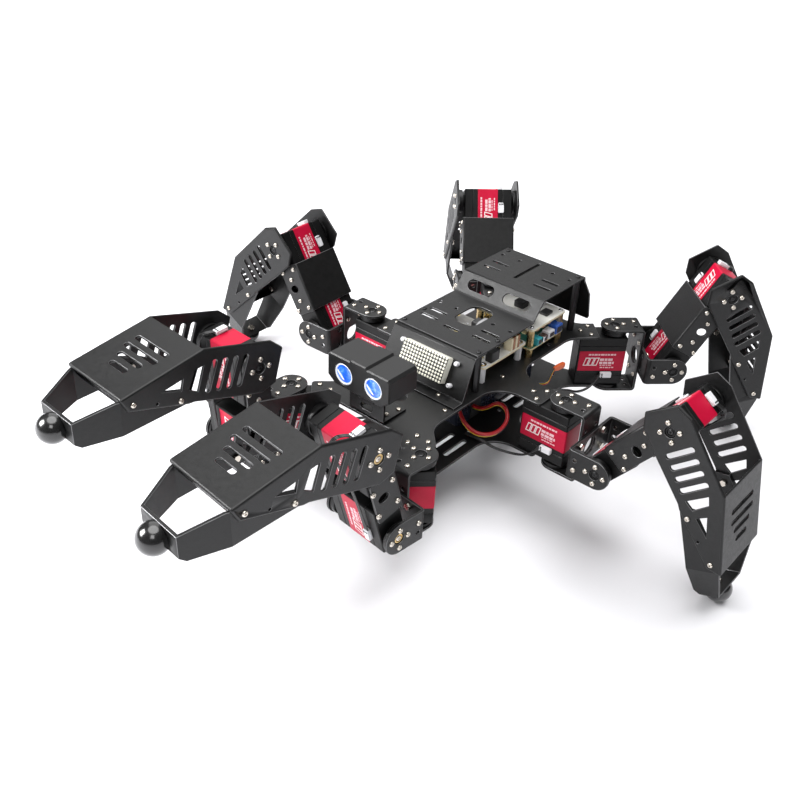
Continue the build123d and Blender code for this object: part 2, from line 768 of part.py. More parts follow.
with BuildPart() as front_panel:
    with BuildSketch(Plane.XZ):
        with BuildLine():
            fold = FilletPolyline(
                (24.0, LOW_DECK - DECK_SHEET),
                (PANEL_TOP_X, LOW_DECK - DECK_SHEET),
                (PANEL_FOOT_X, PLATE_TOP + DECK_SHEET),
                (62.0, PLATE_TOP + DECK_SHEET),
                radius=1.6,
            )
            offset(fold, amount=DECK_SHEET, side=Side.RIGHT)
        make_face()
    extrude(amount=DECK_HALF + 2, both=True)
    with BuildSketch(Plane.YZ.offset(10)):
        Rectangle(120, 300)
        with BuildLine():
            Polyline(
                (DECK_HALF, 100),
                (DECK_HALF, LOW_DECK),
                (DECK_HALF + 2, PLATE_TOP),
                (DECK_HALF + 2, 0),
                (-DECK_HALF - 2, 0),
                (-DECK_HALF - 2, PLATE_TOP),
                (-DECK_HALF, LOW_DECK),
                (-DECK_HALF, 100),
                close=True,
            )
        make_face(mode=Mode.SUBTRACT)
    extrude(amount=60, mode=Mode.SUBTRACT)
    with BuildSketch(Plane.XY):
        with Locations(*PANEL_SCREWS, *PANEL_POSTS):
            Circle(SCREW_HOLE_R)
    extrude(amount=120, mode=Mode.SUBTRACT)
finish(front_panel, "front_panel")

MATRIX_TOP, MATRIX_BOTTOM = 6.0, 26.0  # down the slope from the panel's top edge
MATRIX_Y = (-21.0, 21.0)
MATRIX_THICK = 6.5
matrix_origin = Vector(PANEL_TOP_X, 0, LOW_DECK - DECK_SHEET) - PANEL_TILT * (
    (MATRIX_TOP + MATRIX_BOTTOM) / 2
)
matrix_plane = Plane(origin=matrix_origin, x_dir=(0, 1, 0), z_dir=PANEL_NORMAL)

with BuildPart() as led_matrix:
    with BuildSketch(matrix_plane.offset(0.3)):
        with Locations(((MATRIX_Y[0] + MATRIX_Y[1]) / 2, 0)):
            RectangleRounded(
                MATRIX_Y[1] - MATRIX_Y[0], MATRIX_BOTTOM - MATRIX_TOP, 1.0
            )
    extrude(amount=MATRIX_THICK)
finish(led_matrix, "led_matrix")

# =====================================================================================
# Head: bracket, housing and twin-eye sensor
# =====================================================================================
BRACKET_WALL = 110.5
BRACKET_HALF = 16.0

with BuildPart() as head_bracket:
    with BuildSketch(Plane.XZ):
        with BuildLine():
            fold = FilletPolyline(
                (93.5, HEAD_FLOOR),
                (BRACKET_WALL, HEAD_FLOOR),
                (BRACKET_WALL, PLATE_TOP),
                (86.0, PLATE_TOP),
                radius=2.6,
            )
            offset(fold, amount=SHEET, side=Side.RIGHT)
        make_face()
    extrude(amount=BRACKET_HALF, both=True)
    with BuildSketch(Plane.XY):
        with Locations(*HEAD_SCREWS):
            Circle(SCREW_HOLE_R)
    extrude(amount=60, mode=Mode.SUBTRACT)
    with BuildSketch(Plane.YZ.offset(BRACKET_WALL - SHEET - 1)):
        with Locations((6.5, 62.0), (-6.5, 62.0)):
            Circle(SCREW_HOLE_R)
        with Locations((0, 55.0)):
            SlotOverall(12, 5)
    extrude(amount=SHEET + 2, mode=Mode.SUBTRACT)
finish(head_bracket, "head_bracket")

HEAD_WALL = 2.2
HEAD_FRONT_OUTLINE = (
    (HEAD_HALF, HEAD_TOP - 2.0),
    (HEAD_HALF - 2.0, HEAD_TOP),
    (8.0, HEAD_TOP),
    (6.5, HEAD_TOP + 1.5),
    (-6.5, HEAD_TOP + 1.5),
    (-8.0, HEAD_TOP),
    (2.0 - HEAD_HALF, HEAD_TOP),
    (-HEAD_HALF, HEAD_TOP - 2.0),
    (-HEAD_HALF, HEAD_FLOOR + 5.5),
    (7.5 - HEAD_HALF, HEAD_FLOOR),
    (HEAD_HALF - 7.5, HEAD_FLOOR),
    (HEAD_HALF, HEAD_FLOOR + 5.5),
)
head_depth = HEAD_FRONT - HEAD_BACK

with BuildPart() as head_housing:
    with BuildSketch(Plane.YZ.offset(HEAD_BACK)):
        with BuildLine():
            Polyline(*HEAD_FRONT_OUTLINE, close=True)
        make_face()
    extrude(amount=head_depth)
    fillet(head_housing.edges().filter_by(Axis.X).sort_by(Axis.Y)[:2], 1.0)
    fillet(head_housing.edges().filter_by(Axis.X).sort_by(Axis.Y)[-2:], 1.0)
    chamfer(head_housing.faces().sort_by(Axis.X)[-1].edges(), 0.8)
    with BuildSketch(Plane.YZ.offset(HEAD_BACK - 1)):
        with BuildLine():
            Polyline(*HEAD_FRONT_OUTLINE, close=True)
        make_face()
        offset(amount=-HEAD_WALL, kind=Kind.INTERSECTION, mode=Mode.REPLACE)
    extrude(amount=head_depth + 1 - HEAD_WALL, mode=Mode.SUBTRACT)
    with BuildSketch(Plane.YZ.offset(HEAD_FRONT + 1)):
        with Locations((EYE_Y, EYE_Z), (-EYE_Y, EYE_Z)):
            Circle(EYE_R + 0.15)
    extrude(amount=-(HEAD_WALL + 2), mode=Mode.SUBTRACT)
finish(head_housing, "head_housing")

SENSOR_BACK = 104.0

with BuildPart() as head_sensor:
    with BuildSketch(Plane.YZ.offset(SENSOR_BACK)):
        with Locations((0, EYE_Z)):
            RectangleRounded(42, 16.4, 1.5)
    extrude(amount=BOARD)
    with BuildSketch(Plane.YZ.offset(SENSOR_BACK + BOARD)):
        with Locations((EYE_Y, EYE_Z), (-EYE_Y, EYE_Z)):
            Circle(EYE_R)
    extrude(amount=HEAD_FRONT - 0.4 - SENSOR_BACK - BOARD)
    with BuildSketch(Plane.YZ.offset(HEAD_FRONT - 0.4)):
        with Locations((EYE_Y, EYE_Z), (-EYE_Y, EYE_Z)):
            Circle(EYE_R - 1.3)
    extrude(amount=-1.5, mode=Mode.SUBTRACT)
finish(head_sensor, "head_sensor")

# =====================================================================================
# The six legs, each placed from its own frames
# =====================================================================================
for leg, frames in LEGS.items():
    with BuildPart() as coxa_brackets:
        with Locations(frames["hip_bracket"], frames["pitch_bracket"]):
            add(u_bracket.part)
    finish(coxa_brackets, f"coxa_brackets_{leg}")

    with BuildPart() as coxa_horns:
        with Locations(frames["hip_bracket"], frames["pitch_bracket"]):
            add(horn_pair.part)
    finish(coxa_horns, f"coxa_horns_{leg}")

    with BuildPart() as femur_frame:
        with Locations(frames["thigh"]):
            add(thigh_frames[frames["side"]])
    finish(femur_frame, f"femur_frame_{leg}")

    with BuildPart() as femur_servos:
        with Locations(frames["pitch_servo"], frames["knee_servo"]):
            add(servo.part)
    finish(femur_servos, f"femur_servos_{leg}")

    with BuildPart() as knee_horns:
        with Locations(frames["knee_horns"]):
            add(horn_pair.part)
    finish(knee_horns, f"knee_horns_{leg}")

    with BuildPart() as tibia_shell:
        with Locations(frames["shin"]):
            add(shin_shell.part)
    finish(tibia_shell, f"tibia_shell_{leg}")

    with BuildPart() as placed_foot:
        with Locations(frames["shin"]):
            add(foot_bracket.part)
    finish(placed_foot, f"foot_bracket_{leg}")

    with BuildPart() as placed_ball:
        with Locations(frames["shin"]):
            add(foot_ball.part)
    finish(placed_ball, f"foot_ball_{leg}")
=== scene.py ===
"""Looks of the six-legged walking robot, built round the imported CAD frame.

Sizes are in millimetres in the shape helpers and become metres when a piece is finished.
Leg pieces are placed by the leg's own joints, which are read from the frame.
"""

import json
import random
from math import atan2, cos, degrees, pi, radians, sin, sqrt, tau

import bmesh
import bpy
from mathutils import Matrix, Vector


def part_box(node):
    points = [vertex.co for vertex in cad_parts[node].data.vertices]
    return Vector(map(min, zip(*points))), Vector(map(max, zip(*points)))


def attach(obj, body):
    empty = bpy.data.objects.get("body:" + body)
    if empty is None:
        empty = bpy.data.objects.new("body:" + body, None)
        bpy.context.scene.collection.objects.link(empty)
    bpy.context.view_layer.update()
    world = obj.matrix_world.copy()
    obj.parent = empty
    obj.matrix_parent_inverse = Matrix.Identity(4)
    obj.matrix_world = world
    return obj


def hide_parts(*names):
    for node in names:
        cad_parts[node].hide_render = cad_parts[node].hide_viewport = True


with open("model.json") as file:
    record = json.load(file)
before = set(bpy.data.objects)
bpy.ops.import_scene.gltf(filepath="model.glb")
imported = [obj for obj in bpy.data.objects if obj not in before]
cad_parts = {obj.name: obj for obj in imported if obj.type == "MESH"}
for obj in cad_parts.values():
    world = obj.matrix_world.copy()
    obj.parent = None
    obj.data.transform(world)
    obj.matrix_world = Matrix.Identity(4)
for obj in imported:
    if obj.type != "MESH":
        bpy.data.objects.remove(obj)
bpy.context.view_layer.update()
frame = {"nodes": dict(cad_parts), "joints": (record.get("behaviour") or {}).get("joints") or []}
MM = 0.001
UP = Vector((0, 0, 1))

LEGS = {
    "lf": "left_front",
    "rf": "right_front",
    "lm": "left_middle",
    "rm": "right_middle",
    "lr": "left_rear",
    "rr": "right_rear",
}
ARM_ANGLES = {"lf": 45, "rf": -45, "lm": 90, "rm": -90, "lr": 135, "rr": -135}
CHASSIS = "chassis"

# Servo, about its shaft: +X to the near end, +Z to the output face.
CASE_NEAR, CASE_HALF_Y = 10.0, 10.0
CASE_OUT, CASE_IDLE = 20.75, -22.75
BOSS_TALL = 1.2
EAR_IN, EAR_OUT = 26.75, 28.75
HORN_R, SCREW_RING = 10.5, 7.0
BALL_FLAT = 128.5
THIGH = 75.0
SHEET = 2.0
PLATE_TOP = 47.5


# ---- Materials ----
def node_tree(name):
    """A new material's tree with its Principled shader and object coordinates."""
    made = bpy.data.materials.new(name)
    made.use_nodes = True
    tree = made.node_tree
    shader = tree.nodes["Principled BSDF"]
    where = tree.nodes.new("ShaderNodeTexCoord")
    return made, tree, shader, where.outputs["Object"]


def noise(tree, where, scale, detail=3.0, roughness=0.6):
    """Noise texture at so many cells per metre."""
    made = tree.nodes.new("ShaderNodeTexNoise")
    made.inputs["Scale"].default_value = scale
    made.inputs["Detail"].default_value = detail
    made.inputs["Roughness"].default_value = roughness
    tree.links.new(where, made.inputs["Vector"])
    return made.outputs["Fac"]


# The part of a noise texture's range that carries its contrast.
TONE_LOW, TONE_HIGH = 0.3, 0.7


def ramp(tree, value, stops):
    """Colour ramp through (position, colour) stops."""
    made = tree.nodes.new("ShaderNodeValToRGB")
    elements = made.color_ramp.elements
    while len(elements) < len(stops):
        elements.new(0.5)
    for element, (position, colour) in zip(elements, stops):
        element.position = position
        element.color = (*colour, 1.0)
    tree.links.new(value, made.inputs["Fac"])
    return made.outputs["Color"]


def spread(tree, value, low, high):
    """Map a texture's contrast onto low to high."""
    made = tree.nodes.new("ShaderNodeMapRange")
    made.inputs["From Min"].default_value = TONE_LOW
    made.inputs["From Max"].default_value = TONE_HIGH
    made.inputs["To Min"].default_value = low
    made.inputs["To Max"].default_value = high
    tree.links.new(value, made.inputs["Value"])
    return made.outputs["Result"]


def bump(tree, shader, height, distance, strength=1.0):
    """Relief from a texture, so deep in metres."""
    made = tree.nodes.new("ShaderNodeBump")
    made.inputs["Distance"].default_value = distance
    made.inputs["Strength"].default_value = strength
    tree.links.new(height, made.inputs["Height"])
    tree.links.new(made.outputs["Normal"], shader.inputs["Normal"])


def material(
    name,
    dark,
    light,
    rough,
    metallic=0.0,
    grain=900.0,
    grain_depth=0.00002,
    patches=60.0,
    coat=0.0,
    shine=0.5,
    emission=None,
):
    """Two-tone mottled colour, uneven roughness and a fine grain in relief."""
    made, tree, shader, where = node_tree(name)
    tone = noise(tree, where, patches, 5.0, 0.65)
    fine = noise(tree, where, grain, 2.0, 0.5)
    colour = ramp(tree, tone, ((TONE_LOW, dark), (TONE_HIGH, light)))
    tree.links.new(colour, shader.inputs["Base Color"])
    tree.links.new(spread(tree, tone, *rough), shader.inputs["Roughness"])
    bump(tree, shader, fine, grain_depth)
    shader.inputs["Metallic"].default_value = metallic
    shader.inputs["Specular IOR Level"].default_value = shine
    shader.inputs["Coat Weight"].default_value = coat
    shader.inputs["Coat Roughness"].default_value = 0.1
    if emission is not None:
        shader.inputs["Emission Color"].default_value = (*emission[:3], 1.0)
        shader.inputs["Emission Strength"].default_value = emission[3]
    return made


def grey(value):
    """A grey with a trace of blue."""
    return (value, value, value * 1.03)


M = {
    "sheet": material(
        "powder_coat",
        grey(0.004),
        grey(0.01),
        (0.34, 0.48),
        grain=2200,
        grain_depth=0.00006,
        patches=330,
        shine=0.36,
    ),
    # Lighter colour for the narrow bevels of the sheet parts: partly bare-metal wear, partly a
    # painted highlight along the edges.
    "edge": material("edge_wear_and_painted_highlight", grey(0.1), grey(0.19), (0.3, 0.42), metallic=0.5),
    "case": material(
        "servo_case",
        grey(0.003),
        grey(0.006),
        (0.38, 0.5),
        grain=3200,
        grain_depth=0.00003,
        shine=0.24,
    ),
    # Lighter colour for the narrow bevels of the servo cases: a painted highlight along the edges.
    "case_edge": material("servo_case_painted_edge_highlight", grey(0.008), grey(0.014), (0.3, 0.4), shine=0.35),
    "label": material(
        "label_red",
        (0.42, 0.002, 0.026),
        (0.5, 0.004, 0.038),
        (0.34, 0.44),
        shine=0.2,
        grain_depth=0.00001,
    ),
    "ink": material("label_ink", (0.72, 0.46, 0.5), (0.82, 0.58, 0.62), (0.35, 0.45)),
    "ink_white": material("label_white_ink", (0.78, 0.7, 0.7), (0.86, 0.8, 0.8), (0.35, 0.45)),
    # Near-black for the openings of plugs and sockets: painted shade in the hollows.
    "mouth_shade": material("painted_mouth_shade", grey(0.02), grey(0.03), (0.35, 0.45)),
    "disc": material(
        "horn_disc", grey(0.008), grey(0.014), (0.3, 0.42), metallic=0.5, grain=1800
    ),
    "steel": material(
        "plated_steel",
        (0.6, 0.55, 0.48),
        (0.74, 0.69, 0.62),
        (0.2, 0.34),
        metallic=1.0,
        grain=1500,
    ),
    "black_steel": material(
        "blackened_steel", grey(0.03), grey(0.05), (0.3, 0.42), metallic=0.8
    ),
    "brass": material(
        "brass", (0.62, 0.45, 0.2), (0.74, 0.55, 0.28), (0.22, 0.36), metallic=1.0
    ),
    "nylon": material("white_nylon", grey(0.74), grey(0.82), (0.35, 0.45), coat=0.2),
    "pcb_white": material("white_board", (0.72, 0.71, 0.66), (0.8, 0.79, 0.75), (0.3, 0.42)),
    "pcb_green": material(
        "green_board", (0.006, 0.075, 0.055), (0.012, 0.12, 0.085), (0.25, 0.36), coat=0.3
    ),
    "pcb_edge": material("board_edge", (0.5, 0.42, 0.22), (0.6, 0.5, 0.28), (0.5, 0.6)),
    "gold": material(
        "gold_pads", (0.75, 0.52, 0.16), (0.85, 0.62, 0.24), (0.2, 0.3), metallic=1.0
    ),
    "chip": material("chip_black", grey(0.012), grey(0.02), (0.35, 0.5), grain=2400),
    "silver": material(
        "connector_shell", grey(0.6), grey(0.74), (0.18, 0.3), metallic=1.0, grain=700
    ),
    "plug_white": material("plug_white", grey(0.72), grey(0.8), (0.3, 0.4)),
    "teal": material("teal_socket", (0.02, 0.3, 0.36), (0.04, 0.4, 0.46), (0.3, 0.4)),
    "blue": material("blue_socket", (0.02, 0.09, 0.42), (0.03, 0.13, 0.52), (0.3, 0.4)),
    "brown": material("copper_coil", (0.26, 0.1, 0.04), (0.4, 0.17, 0.07), (0.3, 0.45)),
    "cream": material("cream_edge", (0.66, 0.58, 0.38), (0.76, 0.68, 0.48), (0.4, 0.5)),
    "orange": material("orange_plug", (0.68, 0.1, 0.02), (0.78, 0.14, 0.03), (0.3, 0.4)),
    "lead": material("lead_black", grey(0.012), grey(0.018), (0.3, 0.42), coat=0.25),
    "lead_red": material(
        "lead_red", (0.32, 0.004, 0.008), (0.4, 0.008, 0.012), (0.3, 0.4), coat=0.2
    ),
    "lead_yellow": material("lead_yellow", (0.55, 0.36, 0.02), (0.62, 0.42, 0.04), (0.35, 0.45)),
    "ribbon": material("grey_ribbon", grey(0.2), grey(0.28), (0.4, 0.5)),
    "led_dot": material("led_dot", (0.78, 0.76, 0.62), (0.86, 0.84, 0.72), (0.25, 0.4), coat=0.3),
    "led_face": material("led_face", grey(0.012), grey(0.018), (0.3, 0.4)),
    "led_body": material("led_body", (0.7, 0.69, 0.6), (0.78, 0.77, 0.68), (0.35, 0.45)),
    "plastic": material(
        "moulded_plastic", grey(0.008), grey(0.014), (0.36, 0.46), grain=2000, shine=0.38
    ),
    # Lighter colour for the narrow bevels of the head housing: a painted highlight along the
    # edges.
    "plastic_edge": material("moulded_painted_edge_highlight", grey(0.03), grey(0.045), (0.28, 0.36)),
    "rubber": material(
        "ball_rubber", grey(0.008), grey(0.013), (0.16, 0.26), coat=0.6, grain_depth=0.00001
    ),
    "battery": material("battery_wrap", (0.012, 0.016, 0.03), (0.02, 0.026, 0.045), (0.2, 0.34)),
    "strap": material("strap_weave", grey(0.012), grey(0.022), (0.7, 0.85), grain=1400),
    # Pale rim colour, also the colour of the painted highlight on each lens, which its faint glow
    # makes brighter.
    "eye_rim": material(
        "eye_rim", grey(0.8), grey(0.86), (0.25, 0.35), emission=(0.75, 0.85, 1.0, 0.25)
    ),
    "floor": material(
        "studio_floor", grey(0.8), grey(0.82), (0.7, 0.8), grain=120, patches=3, grain_depth=0.0001
    ),
}


def eye_material():
    """Blue lens: a lit dish with paler facets and a fine mesh."""
    made, tree, shader, where = node_tree("eye_blue")
    cells = tree.nodes.new("ShaderNodeTexVoronoi")
    cells.inputs["Scale"].default_value = 620.0
    tree.links.new(where, cells.inputs["Vector"])
    cloud = noise(tree, where, 170.0, 3.0, 0.6)
    tint = ramp(
        tree,
        cloud,
        ((0.34, (0.005, 0.06, 0.62)), (0.55, (0.02, 0.16, 0.86)), (0.72, (0.3, 0.5, 0.98))),
    )
    tree.links.new(tint, shader.inputs["Base Color"])
    tree.links.new(tint, shader.inputs["Emission Color"])
    shader.inputs["Emission Strength"].default_value = 0.55
    shader.inputs["Coat Weight"].default_value = 1.0
    shader.inputs["Coat Roughness"].default_value = 0.04
    tree.links.new(spread(tree, cloud, 0.25, 0.4), shader.inputs["Roughness"])
    bump(tree, shader, cells.outputs["Distance"], 0.0002, 0.6)
    return made


M["eye"] = eye_material()


# ---- Frames ----
def place(origin, x_axis, z_axis):
    """Matrix of a frame in millimetres with +X and +Z along the given directions."""
    x_axis, z_axis = Vector(x_axis).normalized(), Vector(z_axis).normalized()
    made = Matrix((x_axis, z_axis.cross(x_axis), z_axis)).transposed().to_4x4()
    made.translation = Vector(origin)
    return made


def spot(x, y, z=0.0, turn=0.0):
    """A place on the chassis or inside another frame, turned about its Z."""
    return Matrix.Translation((x, y, z)) @ Matrix.Rotation(radians(turn), 4, "Z")


def leg_places(leg):
    """The frames of a leg's parts, worked out from its three joints at rest."""
    joints = {joint["name"]: joint for joint in frame["joints"]}
    word = LEGS[leg]
    hip, pitch, knee = (
        Vector(joints[f"{word}_{name}"]["pos_m"]) / MM for name in ("yaw", "lift", "knee")
    )
    side = 1 if hip.y > 0 else -1
    hinge = Vector(joints[f"{word}_lift"]["axis"])
    reach = (pitch - hip).normalized()
    thigh = (knee - pitch).normalized()
    lift = degrees(atan2(thigh.z, thigh.dot(reach)))
    # At the knee's upper limit the shin lies in line with the thigh.
    shin = radians(lift - joints[f"{word}_knee"]["range_deg"][1])
    calf = reach * cos(shin) + UP * sin(shin)
    output = hinge * side
    arm = radians(ARM_ANGLES[leg])
    outward = Vector((cos(arm), sin(arm), 0))
    return {
        "side": side,
        "hip_servo": place(hip, outward, UP),
        "hip_bracket": place(hip, reach, UP),
        "pitch_bracket": place(pitch, -reach, output),
        "pitch_servo": place(pitch, -thigh, output),
        "knee_servo": place(knee, thigh, output),
        "thigh": place(pitch, thigh, hinge),
        "knee_horns": place(knee, calf, output),
        "shin": place(knee, calf, hinge),
    }


PLACES = {leg: leg_places(leg) for leg in LEGS}
FLIP = Matrix.Rotation(pi, 4, "X")


# ---- Shapes ----
def rounded(width, height, radius, steps=4):
    """Outline of a rounded rectangle about its centre."""
    points = []
    for quarter, (x_sign, y_sign) in enumerate(((1, 1), (-1, 1), (-1, -1), (1, -1))):
        for step in range(steps + 1):
            angle = radians(90 * (quarter + step / steps))
            x = x_sign * (width / 2 - radius) + radius * cos(angle)
            y = y_sign * (height / 2 - radius) + radius * sin(angle)
            points.append((x, y))
    return points


def circle(radius, steps=24):
    """Outline of a regular polygon about its centre."""
    angles = [tau * step / steps for step in range(steps)]
    return [(radius * cos(angle), radius * sin(angle)) for angle in angles]


def shrunk(outline, amount):
    """An outline moved inwards by the same amount along every side."""
    made = []
    count = len(outline)
    for k in range(count):
        before, here, after = (Vector(outline[(k + step) % count]) for step in (-1, 0, 1))
        into, out_of = (here - before).normalized(), (after - here).normalized()
        inwards = Vector((-into.y, into.x))
        bisector = inwards + Vector((-out_of.y, out_of.x))
        if bisector.length < 1e-6:
            bisector = inwards.copy()
        bisector.normalize()
        lean = max(0.35, bisector.dot(inwards))
        made.append(here + bisector * (amount / lean))
    return [(point.x, point.y) for point in made]


def doubled_area(outline):
    """Twice the signed area, positive where the outline runs counter-clockwise."""
    after = outline[1:] + outline[:1]
    return sum(a[0] * b[1] - a[1] * b[0] for a, b in zip(outline, after))


SHARP_ANGLE = 38  # edges that turn more than this stay sharp


class Solids:
    """Closed solids gathered into one mesh, each with its own material."""

    def __init__(self, name):
        self.name = name
        self.mesh = bmesh.new()
        self.materials = []

    def index(self, key):
        """The slot of a material, added where it is new."""
        if key not in self.materials:
            self.materials.append(key)
        return self.materials.index(key)

    def skin(self, rings, key, at, closed=False):
        """Join equal rings of points into a solid; closed joins the last to the first."""
        index = self.index(key)
        rows = [[self.mesh.verts.new(at @ Vector(p)) for p in ring] for ring in rings]
        pairs = list(zip(rows, rows[1:]))
        if closed:
            pairs.append((rows[-1], rows[0]))
        faces = []
        for low, high in pairs:
            for k in range(len(low)):
                after = (k + 1) % len(low)
                faces.append(self.mesh.faces.new((low[k], low[after], high[after], high[k])))
        if not closed:
            faces.append(self.mesh.faces.new(tuple(reversed(rows[0]))))
            faces.append(self.mesh.faces.new(rows[-1]))
        for face in faces:
            face.material_index = index

    def prism(self, outline, low, high, key, at=Matrix(), edge=0.2):
        """An outline raised from low to high, with bevelled rims."""
        if doubled_area(outline) < 0:
            outline = list(reversed(outline))
        inner = shrunk(outline, edge)
        levels = ((inner, low), (outline, low + edge), (outline, high - edge), (inner, high))
        self.skin([[(x, y, z) for x, y in ring] for ring, z in levels], key, at)

    def block(self, size, key, at=Matrix(), edge=0.2, corner=0.4):
        """A rounded block standing on its frame's origin."""
        width, depth, height = size
        self.prism(rounded(width, depth, corner, 2), 0, height, key, at, edge)

    def turned(self, profile, key, at=Matrix(), steps=28):
        """A profile of (radius, height) turned about Z; a ring where both ends are off axis."""
        rings = [[(x, y, z) for x, y in circle(max(r, 0.001), steps)] for r, z in profile]
        hollow = profile[0][0] > 0.01 and profile[-1] == profile[0]
        self.skin(rings[:-1] if hollow else rings, key, at, closed=hollow)

    def copy_of(self, other, at=Matrix()):
        """Add another gathered shape, moved by a matrix."""
        slots = [self.index(key) for key in other.materials]
        verts = {v: self.mesh.verts.new(at @ v.co) for v in other.mesh.verts}
        for face in other.mesh.faces:
            made = self.mesh.faces.new([verts[v] for v in face.verts])
            made.material_index = slots[face.material_index]

    def done(self, body, replaces=()):
        """Finish the piece: outward faces, metres, smooth where it is round."""
        bmesh.ops.recalc_face_normals(self.mesh, faces=self.mesh.faces)
        data = bpy.data.meshes.new(self.name)
        self.mesh.to_mesh(data)
        self.mesh.free()
        data.transform(Matrix.Scale(MM, 4))
        for face in data.polygons:
            face.use_smooth = True
        data.set_sharp_from_angle(angle=radians(SHARP_ANGLE))
        for key in self.materials:
            data.materials.append(M[key])
        made = bpy.data.objects.new(self.name, data)
        bpy.context.scene.collection.objects.link(made)
        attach(made, body)
        if replaces:
            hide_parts(*replaces)
        return made


def wire(name, runs, radius, keys, body, replaces=()):
    """Leads along smooth curves: one spline for each run, in millimetres."""
    curve = bpy.data.curves.new(name, "CURVE")
    curve.dimensions = "3D"
    curve.bevel_depth = radius * MM
    curve.bevel_resolution = 3
    curve.use_fill_caps = True
    curve.resolution_u = 10
    order = list(dict.fromkeys(keys))
    for key in order:
        curve.materials.append(M[key])
    for run, key in zip(runs, keys):
        spline = curve.splines.new("NURBS")
        spline.points.add(len(run) - 1)
        for point, here in zip(spline.points, run):
            point.co = (*(Vector(here) * MM), 1.0)
        spline.order_u = 3
        spline.use_endpoint_u = True
        spline.use_smooth = True
        spline.material_index = order.index(key)
    made = bpy.data.objects.new(name, curve)
    bpy.context.scene.collection.objects.link(made)
    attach(made, body)
    if replaces:
        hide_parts(*replaces)
    return made


# ---- Repeated hardware ----
def pan_screw(gather, at, radius=1.9, tall=1.2, key="steel"):
    """Pan-head screw with a cross recess, standing on its frame's origin."""
    steps = 16
    turn = tau / steps

    def round_ring(share, z):
        return [(x, y, z) for x, y in circle(share * radius, steps)]

    def cross_ring(length, half_width, z):
        reach = (length, half_width / sin(turn), half_width * sqrt(2))
        rows = []
        for k in range(steps):
            out = reach[min(k % 4, 4 - k % 4)]
            rows.append((out * cos(turn * k), out * sin(turn * k), z))
        return rows

    gather.skin(
        [
            round_ring(1.0, 0),
            round_ring(1.0, 0.4 * tall),
            round_ring(0.86, 0.8 * tall),
            round_ring(0.66, tall),
            cross_ring(0.55 * radius, 0.14 * radius, tall),
            cross_ring(0.45 * radius, 0.1 * radius, 0.35 * tall),
        ],
        key,
        at,
    )


FLUSH_HEAD = ((0, -1.6), (1.5, -1.5), (2.6, 0.02), (2.6, 0.1), (1.1, 0.12), (1.0, -0.6), (0, -0.6))


def flush_screw(gather, at):
    """Countersunk screw whose head is level with the surface."""
    gather.turned(FLUSH_HEAD, "black_steel", at, 18)


PLUG_LONG, PLUG_DEEP = 9.4, 4.6


def plug(gather, at, tall=3.1):
    """White three-pin plug lying along X, with its wire mouths at the low-X end."""
    gather.block((PLUG_LONG, PLUG_DEEP, tall), "plug_white", at, 0.3, 0.5)
    # Dark blocks on the plug's top: painted shade in its openings.
    for k in (-1, 0, 1):
        mouth = at @ spot(1.4 - PLUG_LONG / 2, 1.45 * k, tall - 0.2)
        gather.block((1.2, 1.0, 0.5), "mouth_shade", mouth, 0.1, 0.2)
    for side in (-1, 1):
        rib = at @ spot(0.6, side * PLUG_DEEP / 2, 1.0)
        gather.block((PLUG_LONG - 2.5, 0.6, 0.7), "plug_white", rib, 0.15, 0.2)


LABEL_END, LABEL_LOW, LABEL_HIGH = -28.5, -9.75, 8.75
LABEL_PROUD = 0.12
CASE_CORNER = 1.2


def label_outline():
    """The label wraps the near end of the case like a U."""

    def wrap(offset):
        centre_x, centre_y = CASE_NEAR - CASE_CORNER, CASE_HALF_Y - CASE_CORNER
        radius = CASE_CORNER + offset
        points = [(LABEL_END, CASE_HALF_Y + offset)]
        for side, start in ((1, 90), (-1, 0)):
            for step in range(5):
                angle = radians(start - 22.5 * step)
                across = side * centre_y + radius * sin(angle)
                points.append((centre_x + radius * cos(angle), across))
        points.append((LABEL_END, -CASE_HALF_Y - offset))
        return points

    return wrap(-0.3) + list(reversed(wrap(LABEL_PROUD)))


def label_print(gather, at):
    """Generic marks on one long face: a row of dashes, outlined bars and rows of blocks."""

    def row(x, y, widths, height):
        for width in widths:
            gather.prism(slab(width, height), 0, 0.04, "ink", at @ spot(x + width / 2, y), 0.01)
            x += width + 0.6

    row(-11.5, 5.6, (2.2, 1.4, 2.6, 1.6, 3.0, 1.3, 2.0, 2.4, 1.5), 1.5)
    for x in (-12.6, -8.6, -4.6):
        gather.prism(leaning(3.7, 7.6), 0, 0.04, "ink_white", at @ spot(x, -1.0), 0.01)
        gather.prism(leaning(2.2, 6.0), 0, 0.07, "label", at @ spot(x, -1.0), 0.01)
    row(-1.4, 0.9, (3.4, 2.2, 3.8), 2.2)
    row(-1.6, -2.2, (2.6, 3.6, 2.8, 1.4), 2.2)
    row(-1.0, -4.4, (1.6, 2.4, 1.2, 2.8), 0.8)
    row(-0.5, -6.6, (2.0, 1.2, 2.6, 1.4, 1.8), 1.0)


def slab(width, height):
    """Outline of a plain rectangle about its centre."""
    a, b = width / 2, height / 2
    return [(a, -b), (a, b), (-a, b), (-a, -b)]


def leaning(width, height):
    """Outline of a bar that leans over by a quarter of its height."""
    a, b, lean = width / 2, height / 2, height / 8
    return [(a - lean, -b), (a + lean, b), (lean - a, b), (-a - lean, -b)]


def servo_label(gather, at):
    """The red label of one servo with its print on both long faces."""
    gather.prism(label_outline(), LABEL_LOW, LABEL_HIGH, "label", at, 0.03)
    middle = (LABEL_END + CASE_NEAR) / 2
    for face in (-1, 1):
        out = face * (CASE_HALF_Y + LABEL_PROUD)
        label_print(gather, at @ place((middle, out, 0), (-face, 0, 0), (0, face, 0)))


HUB = (
    (3.6, EAR_IN - 0.1),
    (3.6, EAR_OUT - 1.1),
    (3.3, EAR_OUT - 0.8),
    (2.7, EAR_OUT - 0.8),
    (2.5, EAR_OUT - 1.5),
    (0, EAR_OUT - 1.5),
)


